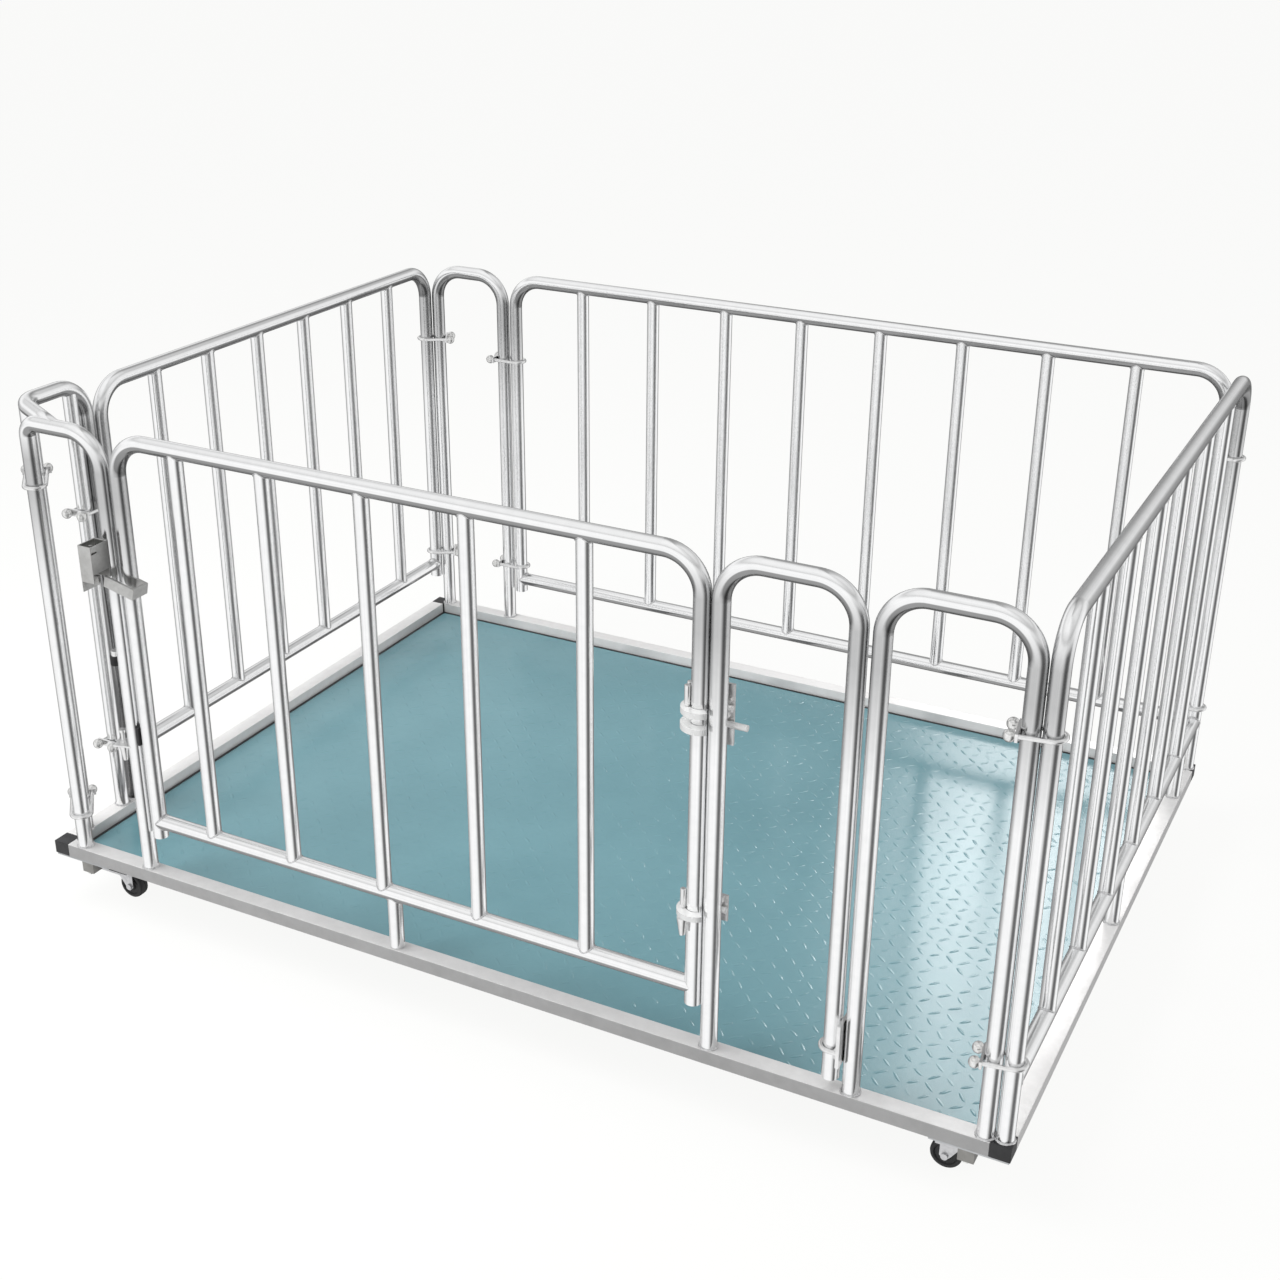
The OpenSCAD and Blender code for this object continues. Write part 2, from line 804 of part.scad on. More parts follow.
// Everything on and outside a bend, with the coping gap, to cut a bar off below it
module above_bend() {
    rotate([90, 0, 0]) {
        rotate_extrude(angle = 90) tube_ring(tube_d + 2 * weld_gap);
        translate([0, 0, -tube_d])
            linear_extrude(2 * tube_d)
                difference() {
                    square(2 * bend_r);
                    circle(r = bend_r);
                }
    }
}

module panel_d_frame() { color("silver") on_right(d_near) hoop(d_far - d_near, 0, 0); }
module panel_d_rail() { color("silver") on_right(d_near) rail(d_far - d_near); }
module panel_d_bars() { color("silver") on_right(d_near) bars(even(d_far - d_near, panel_d_n)); }
module panel_d_feet() { color("silver") on_right(d_near) feet(panel_d_feet_at, 0); }
module panel_f_frame() { color("silver") on_back(f_left) hoop(f_right - f_left, hang_h, hang_h); }
module panel_f_rail() { color("silver") on_back(f_left) rail(f_right - f_left); }
module panel_f_bars() { color("silver") on_back(f_left) bars(even(f_right - f_left, panel_f_n)); }
module panel_g_frame() { color("silver") on_left(g_near) hoop(g_far - g_near, hang_h, hang_h); }
module panel_g_rail() { color("silver") on_left(g_near) rail(g_far - g_near); }
module panel_g_bars() { color("silver") on_left(g_near) bars(even(g_far - g_near, panel_g_n)); }
module gate_frame() { color("silver") on_front(gate_left) hoop(gate_w, hang_h, hang_h); }
module gate_bars() { color("silver") on_front(gate_left) bars(gate_bars_at); }

// Lower rail of the gate with its stub foot, clear of the rim so that the gate can swing
module gate_rail() {
    color("silver")
        on_front(gate_left) {
            rail(gate_w);
            feet([gate_foot], face_gap);
        }
}

// U-bolt: strap-side leg at the origin, far leg at X = reach
module u_bolt(reach, tail) {
    union() {
        translate([reach, 0, 0])
            rotate([0, 0, -90]) rotate_extrude(angle = 180) translate([u_r, 0]) circle(d = u_bar_d);
        for (s = [-1, 1])
            translate([-tail, s * u_r, 0]) rotate([0, 90, 0]) cylinder(d = u_bar_d, h = reach + tail);
    }
}

// Strap across the U-bolt's threaded ends
module strap(t, h) {
    difference() {
        translate([-tube_r - u_fit - t, -strap_w / 2, -h / 2]) cube([t, strap_w, h]);
        for (s = [-1, 1])
            translate([-tube_r - u_fit - t - cut, s * u_r, 0])
                rotate([0, 90, 0]) cylinder(d = u_bar_d + 2 * bolt_fit, h = t + 2 * cut);
    }
}

// Ball nut on a bar along X, with its flat at X = 0 and its closed end towards -X
module ball_nut() {
    difference() {
        translate([ball_flat - ball_d / 2, 0, 0]) rotate([0, 90, 0]) sphere(d = ball_d);
        translate([0, -ball_d, -ball_d]) cube(2 * ball_d);
        translate([-u_thread - u_fit, 0, 0])
            rotate([0, 90, 0]) cylinder(d = u_bar_d + 2 * weld_gap, h = u_thread + u_fit + cut);
    }
}

// Frame of one clamp, +X from the strap-side leg to the far leg
module clamp_frame(c) {
    way = c[1] - c[0];
    translate([c[0][0], c[0][1], rim_top + c[2]]) rotate([0, 0, atan2(way[1], way[0])]) children();
}

module u_bolts() {
    color("gainsboro") {
        for (c = clamps) clamp_frame(c) u_bolt(norm(c[1] - c[0]), u_tail);
        on_front(b_right)
            translate([0, 0, tie_bolt_z]) rotate([0, 0, 180]) u_bolt(0, tube_r + u_fit + tie_t);
    }
}

module clamp_straps() {
    color("gainsboro") for (c = clamps) clamp_frame(c) strap(strap_t, strap_h);
}

module clamp_nuts() {
    color("darkgray")
        for (c = clamps)
            clamp_frame(c)
                for (s = [-1, 1]) translate([-tube_r - u_fit - strap_t, s * u_r, 0]) ball_nut();
}

// Plate between the free leg of hoop B and hoop C
module tie_plate() {
    color("gainsboro")
        on_front(b_right)
            difference() {
                translate([tube_r + u_fit, -strap_w / 2, tie_z - tie_h / 2]) cube([tie_t, strap_w, tie_h]);
                for (s = [-1, 1])
                    translate([tube_r, s * u_r, tie_bolt_z])
                        rotate([0, 90, 0]) cylinder(d = u_bar_d + 2 * bolt_fit, h = 2 * tie_t);
            }
}

// Hinge eye: flat eye round the gate leg, its shank behind the next leg
module hinge_eyes() {
    color("gainsboro")
        on_front(gate_right)
            for (e = eyes)
                translate([0, 0, e[0]])
                    union() {
                        rotate([0, 0, 90])
                            rotate_extrude(angle = eye_turn)
                                translate([eye_r, 0]) square([eye_w, eye_t], center = true);
                        translate([-eye_lap, shank_y, 0])
                            rotate([0, 90, 0])
                                cylinder(d = shank_d, h = eye_lap + eye_shank + e[1]);
                    }
}

// Plate across the eye shanks, with a pad against the back of hoop B's leg
module hinge_plate(h, pad_up) {
    pad_y = tube_r + weld_gap;
    union() {
        translate([hinge_pitch - tube_r, hinge_plate_y, -h / 2]) cube([tube_d, hinge_plate_t, h]);
        translate([hinge_pitch - hinge_pad_w / 2, pad_y, pad_up - hinge_pad_h / 2])
            cube([hinge_pad_w, hinge_plate_y - pad_y + cut, hinge_pad_h]);
    }
}

module hinge_bolt_place() {
    translate([hinge_bolt_x, hinge_plate_y, eye_top_z + hinge_bolt_up]) rotate([-90, 0, 0]) children();
}

module hinge_plates() {
    color("gainsboro")
        on_front(gate_right) {
            difference() {
                translate([0, 0, hinge_plate_z]) hinge_plate(hinge_plate_h, 0);
                hinge_bolt_place()
                    translate([0, 0, -cut])
                        cylinder(d = hinge_bolt_d + 2 * bolt_fit, h = hinge_plate_t + 2 * cut);
            }
            translate([0, 0, eye_low_z]) hinge_plate(low_plate_h, low_pad_up);
        }
}

// Bolt through the upper hinge plate, with its nut behind
module hinge_bolts() {
    color("darkgray")
        on_front(gate_right)
            hinge_bolt_place()
                union() {
                    translate([0, 0, -hinge_bolt_head_h])
                        cylinder(d = hinge_bolt_head_d, h = hinge_bolt_head_h, $fn = 6);
                    cylinder(d = hinge_bolt_d, h = hinge_plate_t);
                    translate([0, 0, hinge_plate_t])
                        cylinder(d = hinge_bolt_head_d, h = hinge_bolt_head_h, $fn = 6);
                }
}

// Tapered cup under the lower eye, clear of the turning leg
module hinge_cup() {
    color("gainsboro")
        on_front(gate_right)
            rotate([0, 0, hinge_cup_angle])
                translate([tube_r + turn_fit + cup_d / 2, 0, eye_low_z - eye_t / 2 - weld_gap])
                    tapered_cup();
}

// Cup that hangs from Z = 0
module tapered_cup() {
    rotate_extrude()
        polygon([[0, 0], [cup_d / 2, 0], [cup_d / 2, -cup_lip], [cup_tip_d / 2, -cup_h], [0, -cup_h]]);
}

// Fittings on hoop A's right leg: plate with a spool and a tapered cup, and higher up the bush collar
module stop_fitting() {
    color("gainsboro")
        on_front(a_right) {
            translate([-tube_r - weld_gap - bush_collar_d / 2, 0, collar_z])
                cylinder(d = bush_collar_d, h = bush_collar_h);
            difference() {
                rotate([0, 0, stop_angle])
                    union() {
                        translate([0, -stop_plate_w / 2, stop_z])
                            cube([stop_plate_l, stop_plate_w, stop_plate_t]);
                        translate([stop_r, 0, stop_z]) tapered_cup();
                        translate([stop_r, 0, stop_z + stop_plate_t])
                            rotate_extrude()
                                polygon([
                                    [0, 0],
                                    [spool_d / 2, 0],
                                    [spool_d / 2, spool_flange],
                                    [spool_neck_d / 2, spool_flange],
                                    [spool_neck_d / 2, spool_h - spool_flange],
                                    [spool_d / 2, spool_h - spool_flange],
                                    [spool_d / 2, spool_h],
                                    [0, spool_h]
                                ]);
                    }
                translate([0, 0, stop_z]) cope(2 * spool_h);
            }
        }
}

module stop_buffer() {
    color("dimgray")
        on_front(a_right) {
            translate([tube_r + weld_gap, -buffer_depth / 2, buffer_z])
                cube([pair_pitch - tube_d - weld_gap - face_gap, buffer_depth, buffer_h]);
            translate([-tube_r - weld_gap - bush_d / 2, 0, bush_z]) cylinder(d = bush_d, h = bush_h);
        }
}

// Folded latch box, open below its right wall for the catch, with a longer left wall
module latch_box() {
    z0 = latch_top - latch_h;
    color("gainsboro")
        translate([0, 0, rim_top])
            difference() {
                union() {
                    translate([latch_x0, latch_y0, z0]) cube([latch_w, latch_t, latch_h]);
                    translate([latch_x0, latch_y0, z0 - latch_tail])
                        cube([latch_t, latch_depth, latch_h + latch_tail]);
                    translate([latch_x1 - latch_t, latch_y0, z0 + window_h])
                        cube([latch_t, latch_depth, latch_h - window_h]);
                    translate([latch_x0, latch_y1 - latch_back_t, z0]) cube([latch_w, latch_back_t, latch_h]);
                }
                translate([latch_x1 - latch_t - cut, latch_y0 + latch_t, latch_top - slot_drop])
                    cube([latch_t + 2 * cut, slot_d, slot_h]);
            }
}

module latch_pin() {
    pin_y = latch_y0 + latch_t;
    pin_l = latch_depth - latch_t - latch_back_t;
    collar_y = catch_y + catch_t + face_gap;
    color("darkgray")
        translate([pivot_x, 0, rim_top + pivot_z])
            union() {
                translate([0, pin_y, 0]) rotate([-90, 0, 0]) cylinder(d = pivot_d, h = pin_l);
                translate([0, collar_y, 0])
                    rotate([-90, 0, 0]) cylinder(d = collar_d, h = pin_y + pin_l - collar_y);
            }
}

// Catch lever: hangs inside the box, turns to put its nose in front of the strike bar
module latch_catch() {
    color("silver")
        translate([pivot_x, catch_y + catch_t, rim_top + pivot_z])
            rotate([90, 0, 0])
                difference() {
                    linear_extrude(catch_t)
                        union() {
                            circle(d = catch_hub);
                            translate([-catch_arm_w / 2, -catch_drop]) square([catch_arm_w, catch_drop]);
                            translate([0, -catch_drop]) square([nose_l, nose_h]);
                            translate([-tab_w / 2, 0]) square([tab_w, tab_h]);
                        }
                    translate([0, 0, -cut]) cylinder(d = pivot_d + 2 * pin_fit, h = catch_t + 2 * cut);
                }
}

// Strike bar in front of the legs, bent round and back to the gate leg
module strike_bar() {
    color("gainsboro")
        difference() {
            translate([strike_x0, strike_y, rim_top + strike_z0])
                rotate([0, strike_fall, 0])
                    union() {
                        translate([0, 0, -strike_h / 2]) cube([strike_l, strike_t, strike_h]);
                        translate([strike_l - strike_t, 0, -strike_h / 2])
                            cube([strike_t, strike_hook, strike_h]);
                        translate([strike_l - strike_return, strike_hook - strike_t, -strike_h / 2])
                            cube([strike_return, strike_t, strike_h]);
                    }
            on_front(gate_left) translate([0, 0, strike_z0]) cope(4 * strike_h);
        }
}

// Lugs welded to the gate leg, which stand on the hinge eyes
module gate_lugs() {
    color("gainsboro")
        on_front(gate_right) {
            for (a = lug_angles)
                rotate([0, 0, a]) translate([lug_r, 0, eye_top_z + eye_t / 2 + u_fit])
                    cylinder(d = lug_d, h = lug_h);
            rotate([0, 0, low_lug_angle]) translate([lug_r, 0, eye_low_z + eye_t / 2 + u_fit])
                cylinder(d = lug_d, h = lug_h);
        }
}

rim_front();
rim_back();
rim_left();
rim_right();
rim_caps();
deck_plate();
bearers();
corner_plates();
load_cells();
foot_plates();
cell_bolts();
caster_bolts();
junction_box();
junction_lid();
cable_glands();
corner_hoop();
corner_post_side();
corner_bar();
hoop_a();
hoop_b();
hoop_c();
hoop_e();
panel_d_frame();
panel_d_rail();
panel_d_bars();
panel_d_feet();
panel_f_frame();
panel_f_rail();
panel_f_bars();
panel_g_frame();
panel_g_rail();
panel_g_bars();
u_bolts();
clamp_straps();
clamp_nuts();
tie_plate();
hinge_eyes();
hinge_plates();
hinge_bolts();
hinge_cup();
stop_fitting();
stop_buffer();
latch_box();
latch_pin();
latch_catch();
gate_frame();
gate_rail();
gate_bars();
gate_lugs();
strike_bar();
caster_plates();
caster_at(-1, -1) fork();  // caster_fork_fl
caster_at(1, -1) fork();  // caster_fork_fr
caster_at(-1, 1) fork();  // caster_fork_bl
caster_at(1, 1) fork();  // caster_fork_br
caster_at(-1, -1) wheel();  // caster_wheel_fl
caster_at(1, -1) wheel();  // caster_wheel_fr
caster_at(-1, 1) wheel();  // caster_wheel_bl
caster_at(1, 1) wheel();  // caster_wheel_br
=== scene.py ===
import json
import math

import bmesh
import bpy
from mathutils import Matrix, Vector, noise

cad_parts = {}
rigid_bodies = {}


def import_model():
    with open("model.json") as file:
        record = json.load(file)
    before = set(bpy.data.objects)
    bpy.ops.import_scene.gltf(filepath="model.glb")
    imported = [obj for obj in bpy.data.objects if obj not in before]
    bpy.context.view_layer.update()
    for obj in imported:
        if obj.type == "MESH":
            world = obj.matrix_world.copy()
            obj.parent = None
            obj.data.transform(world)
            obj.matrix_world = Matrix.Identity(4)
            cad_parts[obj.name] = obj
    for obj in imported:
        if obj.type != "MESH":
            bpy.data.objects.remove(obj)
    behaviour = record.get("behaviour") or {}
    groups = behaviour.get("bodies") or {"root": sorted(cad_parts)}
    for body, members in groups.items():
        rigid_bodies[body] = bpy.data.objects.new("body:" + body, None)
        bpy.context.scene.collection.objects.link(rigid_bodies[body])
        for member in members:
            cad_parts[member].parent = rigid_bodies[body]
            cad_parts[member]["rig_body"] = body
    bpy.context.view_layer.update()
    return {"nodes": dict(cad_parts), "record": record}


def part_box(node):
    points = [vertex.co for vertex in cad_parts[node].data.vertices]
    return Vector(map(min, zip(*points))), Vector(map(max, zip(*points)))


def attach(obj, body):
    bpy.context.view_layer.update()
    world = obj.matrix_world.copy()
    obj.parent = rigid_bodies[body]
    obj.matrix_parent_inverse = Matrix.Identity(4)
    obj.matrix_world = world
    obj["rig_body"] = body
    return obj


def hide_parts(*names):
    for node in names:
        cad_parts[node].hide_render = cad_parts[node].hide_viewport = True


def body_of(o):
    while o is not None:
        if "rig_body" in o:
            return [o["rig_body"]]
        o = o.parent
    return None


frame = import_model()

MM = 0.001
X, Y, Z = Vector((1, 0, 0)), Vector((0, 1, 0)), Vector((0, 0, 1))

# Sizes that the solids share, in metres
TUBE_R = 13.5 * MM
BAR_R = 12.5 * MM
RIM_TOP = 125.5 * MM
RAIL_Z = RIM_TOP + 102 * MM
TOP_Z = RIM_TOP + 800 * MM


# Camera: where the photograph was taken from, its azimuth, elevation and roll in degrees,
# and its focal length in pixels of the photograph
CAMERA_PLACE = (1.3130, -2.6267, 1.8083)
CAMERA_TURN = (26.997, 24.621, 0.504)
FOCAL_PX = 1764.8
PHOTO_PX = 1280
SENSOR_MM = 36.0


def make_camera():
    azimuth, elevation, roll = (math.radians(a) for a in CAMERA_TURN)
    ahead = Vector((-math.sin(azimuth) * math.cos(elevation),
                    math.cos(azimuth) * math.cos(elevation),
                    -math.sin(elevation)))
    side = ahead.cross(Z).normalized()
    up = side.cross(ahead)
    x_axis = side * math.cos(roll) + up * math.sin(roll)
    y_axis = up * math.cos(roll) - side * math.sin(roll)
    turn = Matrix((x_axis, y_axis, -ahead)).transposed().to_4x4()
    data = bpy.data.cameras.new("camera")
    data.sensor_width = SENSOR_MM
    data.lens = SENSOR_MM * FOCAL_PX / PHOTO_PX
    data.clip_end = 200.0
    camera = bpy.data.objects.new("camera", data)
    camera.matrix_world = Matrix.Translation(Vector(CAMERA_PLACE)) @ turn
    bpy.context.scene.collection.objects.link(camera)
    bpy.context.scene.camera = camera


# Node helpers

def add(tree, kind, props=None, **inputs):
    """A new node; a value that is a socket is linked, any other value is set."""
    n = tree.nodes.new(kind)
    for key, value in (props or {}).items():
        setattr(n, key, value)
    for key, value in inputs.items():
        put(tree, n, key.replace("_", " "), value)
    return n


def put(tree, n, key, value):
    """Feed an input, named, or numbered as in i0."""
    socket = n.inputs[int(key[1:])] if key[0] == "i" and key[1:].isdigit() else n.inputs[key]
    if isinstance(value, bpy.types.NodeSocket):
        tree.links.new(value, socket)
    else:
        socket.default_value = value


def math_node(tree, operation, a, b=0.0):
    return add(tree, "ShaderNodeMath", {"operation": operation}, i0=a, i1=b).outputs[0]


def noise_of(tree, vector, scale, detail=3.0, rough=0.55):
    n = add(tree, "ShaderNodeTexNoise", Vector=vector, Scale=scale, Detail=detail, Roughness=rough)
    return n.outputs["Fac"]


def blend(tree, a, share, b):
    """The share of a, and the rest of b."""
    return math_node(tree, "ADD", math_node(tree, "MULTIPLY", a, share),
                     math_node(tree, "MULTIPLY", b, 1 - share))


def spread(tree, value, low, high, to_low, to_high):
    n = add(tree, "ShaderNodeMapRange", Value=value)
    for key, v in (("From Min", low), ("From Max", high), ("To Min", to_low), ("To Max", to_high)):
        n.inputs[key].default_value = v
    return n.outputs["Result"]


def tint(tree, factor, dark, light):
    n = add(tree, "ShaderNodeMix", {"data_type": "RGBA"}, i0=factor, i6=(*dark, 1), i7=(*light, 1))
    return n.outputs[2]


def scaled(tree, vector, factor):
    n = add(tree, "ShaderNodeVectorMath", {"operation": "MULTIPLY"}, i0=vector)
    n.inputs[1].default_value = (factor, factor, factor)
    return n.outputs[0]


def summed(tree, a, b):
    return add(tree, "ShaderNodeVectorMath", {"operation": "ADD"}, i0=a, i1=b).outputs[0]


def dimmed(tree, color, share):
    return add(tree, "ShaderNodeVectorMath", {"operation": "SCALE"}, i0=color, Scale=share).outputs[0]


def bumped(tree, bsdf, height, strength, distance):
    n = add(tree, "ShaderNodeBump", Height=height, Strength=strength, Distance=distance)
    tree.links.new(n.outputs["Normal"], bsdf.inputs["Normal"])


def start_material(name):
    m = bpy.data.materials.new(name)
    m.use_nodes = True
    tree = m.node_tree
    return m, tree, tree.nodes["Principled BSDF"], add(tree, "ShaderNodeTexCoord")


# Materials

# Noise between these values runs from one tone to the other, and from one roughness to the other
TONES = (0.36, 0.64)
SKIN_TONES = (0.35, 0.65)
ROUGHS = (0.3, 0.7)
# Draw lines: detail and roughness of their noise, and their share of the tone, the rest being mottle
LINE_DETAIL, LINE_ROUGH, LINE_SHARE = 5.0, 0.65, 0.65
# Fine grain of metal: scale and detail of its noise, strength and depth of its bump
METAL_GRAIN = (900.0, 2.0)
METAL_BUMP = (0.06, 0.2 * MM)
SKIN_DEPTH = 0.3 * MM


def drawn_metal(name, dark, light, rough, lines=9.0, drift=2.0, mottle=60.0, metallic=1.0,
                painted_shade=None, painted_band=None):
    """Metal with draw lines: noise on the surface normal runs along any tube or flat.

    painted_shade darkens the tone where the surface faces less upward, as painted shade: a low slope of the
    surface, a high slope and the share of the tone that is left at the low one.
    painted_band darkens it between heights, as painted shade: the four heights between which the tone falls
    and rises again, and the share left between them.
    """
    m, tree, bsdf, coord = start_material(name)
    around = scaled(tree, coord.outputs["Normal"], lines)
    along = scaled(tree, coord.outputs["Object"], drift)
    streak = noise_of(tree, summed(tree, around, along), 1.0, LINE_DETAIL, LINE_ROUGH)
    cloud = noise_of(tree, coord.outputs["Object"], mottle)
    both = blend(tree, streak, LINE_SHARE, cloud)
    color = tint(tree, spread(tree, both, *TONES, 0.0, 1.0), dark, light)
    # Painted shade: the tone is darker where the surface faces less upward
    if painted_shade:
        low, high, left = painted_shade
        normal = add(tree, "ShaderNodeNewGeometry").outputs["Normal"]
        slope = add(tree, "ShaderNodeSeparateXYZ", Vector=normal).outputs["Z"]
        color = dimmed(tree, color, spread(tree, slope, low, high, left, 1.0))
    # Painted shade: the tone is darker between two heights
    if painted_band:
        fall_from, fall_to, rise_from, rise_to, left = painted_band
        height = add(tree, "ShaderNodeSeparateXYZ", Vector=coord.outputs["Object"]).outputs["Z"]
        fall = spread(tree, height, fall_from, fall_to, 1.0, left)
        rise = spread(tree, height, rise_from, rise_to, left, 1.0)
        color = dimmed(tree, color, math_node(tree, "MAXIMUM", fall, rise))
    tree.links.new(color, bsdf.inputs["Base Color"])
    tree.links.new(spread(tree, both, *ROUGHS, rough[1], rough[0]), bsdf.inputs["Roughness"])
    bsdf.inputs["Metallic"].default_value = metallic
    bumped(tree, bsdf, noise_of(tree, coord.outputs["Object"], *METAL_GRAIN), *METAL_BUMP)
    return m


def plain_skin(name, dark, light, rough, metallic=0.0, grain=700.0, bump=0.25, mottle=40.0):
    """Moulded or cast surface with mottled tone and a fine grain."""
    m, tree, bsdf, coord = start_material(name)
    cloud = noise_of(tree, coord.outputs["Object"], mottle, 4.0)
    fine = noise_of(tree, coord.outputs["Object"], grain, 2.0)
    tone = spread(tree, cloud, *SKIN_TONES, 0.0, 1.0)
    tree.links.new(tint(tree, tone, dark, light), bsdf.inputs["Base Color"])
    tree.links.new(spread(tree, fine, *ROUGHS, *rough), bsdf.inputs["Roughness"])
    bsdf.inputs["Metallic"].default_value = metallic
    bumped(tree, bsdf, fine, bump, SKIN_DEPTH)
    return m


DECK_DARK, DECK_LIGHT = (0.128, 0.272, 0.308), (0.154, 0.312, 0.350)
DECK_ROUGH = (0.20, 0.25)
DECK_SPECULAR = 0.6
# Scale, detail and roughness of the noise of its clouds and scuffs, and the clouds' share of the tone
CLOUDS, SCUFFS, CLOUD_SHARE = (3.0, 5.0, 0.6), (130.0, 4.0, 0.7), 0.86
# Scale of its grain, strength and depth of the grain's bump
DECK_GRAIN = 260.0
DECK_BUMP = (0.08, 0.5 * MM)


def deck_paint():
    """Teal enamel over tread plate, with faint clouds and small scuffs."""
    m, tree, bsdf, coord = start_material("deck_paint")
    cloud = noise_of(tree, coord.outputs["Object"], *CLOUDS)
    scuff = noise_of(tree, coord.outputs["Object"], *SCUFFS)
    tone = spread(tree, blend(tree, cloud, CLOUD_SHARE, scuff), *TONES, 0.0, 1.0)
    tree.links.new(tint(tree, tone, DECK_DARK, DECK_LIGHT), bsdf.inputs["Base Color"])
    tree.links.new(spread(tree, scuff, *ROUGHS, *DECK_ROUGH), bsdf.inputs["Roughness"])
    bsdf.inputs["Specular IOR Level"].default_value = DECK_SPECULAR
    bumped(tree, bsdf, noise_of(tree, coord.outputs["Object"], DECK_GRAIN), *DECK_BUMP)
    return m


# The fence's bright steel, with painted shade on undersides, and on the frames painted shade below their top
# bends too
BRIGHT_STEEL = ((0.88, 0.885, 0.89), (0.95, 0.952, 0.955))
PAINTED_UNDERSIDE_SHADE = (-0.10, -0.01, 0.34)
PAINTED_SHADE_BELOW_BENDS = (TOP_Z - 0.30, TOP_Z - 0.11, TOP_Z - 0.06, TOP_Z - 0.01, 0.58)
# The grain of rims and of zinc
RIM_GRAIN = {"lines": 5.0, "drift": 6.0}
ZINC_GRAIN = {"lines": 6.0, "drift": 25.0}


def make_materials():
    """A material for each slot, and more for single pieces."""
    return {
        # Painted shade: the fence tubes darker underneath, and the frames also darker below their top bends
        "fence_tube": drawn_metal("fence_steel", *BRIGHT_STEEL, (0.13, 0.19), painted_shade=PAINTED_UNDERSIDE_SHADE),
        "frame_tube": drawn_metal("frame_steel", *BRIGHT_STEEL, (0.15, 0.21), painted_shade=PAINTED_UNDERSIDE_SHADE,
                                  painted_band=PAINTED_SHADE_BELOW_BENDS),
        # Painted shade: the rims' sides are darker than their tops; the paler copy after it is painted as lit
        "rim_steel": drawn_metal("rim_steel", (0.60, 0.595, 0.59), (0.69, 0.685, 0.68), (0.40, 0.50),
                                 **RIM_GRAIN, metallic=0.35, painted_shade=(0.0, 0.7, 0.72)),
        "rim_painted_lit": drawn_metal("rim_painted_lit", (0.74, 0.73, 0.72), (0.83, 0.82, 0.81), (0.40, 0.50),
                                **RIM_GRAIN, metallic=0.3, painted_shade=(0.0, 0.7, 0.90)),
        "fitting_zinc": drawn_metal("fitting_zinc", (0.74, 0.74, 0.74), (0.88, 0.88, 0.88), (0.16, 0.28),
                                    **ZINC_GRAIN, mottle=120.0),
        # Painted highlight: a paler copy of the zinc for the hinge eyes
        "eye_painted_highlight_zinc": drawn_metal("eye_painted_highlight_zinc", (0.91, 0.91, 0.90), (0.96, 0.96, 0.95), (0.22, 0.30),
                                **ZINC_GRAIN, mottle=60.0, metallic=0.4),
        "dull_zinc": drawn_metal("dull_zinc", (0.46, 0.46, 0.45), (0.58, 0.58, 0.57), (0.34, 0.46),
                                 **ZINC_GRAIN, mottle=120.0),
        "fastener_zinc": drawn_metal("fastener_zinc", (0.70, 0.70, 0.69), (0.86, 0.86, 0.85), (0.16, 0.26),
                                     **ZINC_GRAIN, mottle=160.0),
        "caster_zinc": drawn_metal("caster_zinc", (0.45, 0.45, 0.46), (0.66, 0.66, 0.67), (0.24, 0.38),
                                   **ZINC_GRAIN, mottle=140.0),
        "cell_metal": drawn_metal("cell_metal", (0.24, 0.235, 0.225), (0.33, 0.325, 0.31), (0.30, 0.42),
                                  lines=8.0, drift=12.0, mottle=90.0),
        "base_steel": drawn_metal("base_steel", (0.40, 0.41, 0.42), (0.56, 0.57, 0.58), (0.34, 0.48),
                                  lines=4.0, drift=6.0, mottle=40.0),
        "tread_plate": deck_paint(),
        "black_plastic": plain_skin("cap_plastic", (0.012, 0.012, 0.013), (0.026, 0.026, 0.028),
                                    (0.38, 0.55)),
        "box_plastic": plain_skin("box_plastic", (0.16, 0.165, 0.17), (0.22, 0.225, 0.23), (0.42, 0.58)),
        "buffer_rubber": plain_skin("buffer_rubber", (0.018, 0.018, 0.019), (0.035, 0.035, 0.036), (0.6, 0.8),
                                    grain=1200.0),
        "wheel_rubber": plain_skin("wheel_rubber", (0.011, 0.011, 0.012), (0.024, 0.024, 0.025), (0.45, 0.65),
                                   grain=1000.0),
        "weld": plain_skin("weld_metal", (0.55, 0.55, 0.56), (0.80, 0.80, 0.80), (0.22, 0.38),
                           metallic=1.0, grain=1500.0, bump=0.3, mottle=300.0),
    }


def slot_of(name):
    return next(p["material_slot"] for p in frame["record"]["subparts"] if p["node"] == name)


def dress_nodes(mats):
    """Every solid gets the material of its slot; the bent frames get their own, with painted shade below
    their top bends.
    """
    for part in frame["record"]["subparts"]:
        mesh = frame["nodes"][part["node"]].data
        mesh.materials.clear()
        framed = part["node"].startswith("hoop_") or part["node"].endswith("_frame")
        mesh.materials.append(mats["frame_tube" if framed else part["material_slot"]])


# Pieces

def piece(name, verts, faces, body, material, smooth=True):
    mesh = bpy.data.meshes.new(name)
    mesh.from_pydata([tuple(v) for v in verts], [], faces)
    mesh.update()
    if smooth:
        mesh.shade_smooth()
    mesh.materials.append(material)
    obj = bpy.data.objects.new(name, mesh)
    bpy.context.scene.collection.objects.link(obj)
    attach(obj, body)
    return obj


def middle(box):
    return (box[0] + box[1]) / 2


# Lugs of the tread plate: their spacing and size, how deep they are set in,
# and how far they keep off the plate's edge
LUG_PITCH = 25.5 * MM
LUG_LENGTH, LUG_WIDTH, LUG_HEIGHT = 24 * MM, 6 * MM, 0.48 * MM
LUG_SUNK = 0.05 * MM
LUG_EDGE = LUG_LENGTH * 0.4
# How they vary: degrees off the diagonals, share of the length, and share of the height with its least
LUG_SWAY = 16
LUG_LONGER = 0.35
LUG_TALL, LUG_TALLER, LUG_LEAST = 0.8, 1.3, 0.12
# Seed of the noise, which would start from the clock without one, and steps through it along X and Y
LUG_SEED = 3
LUG_STEPS = (1.73, 2.31)


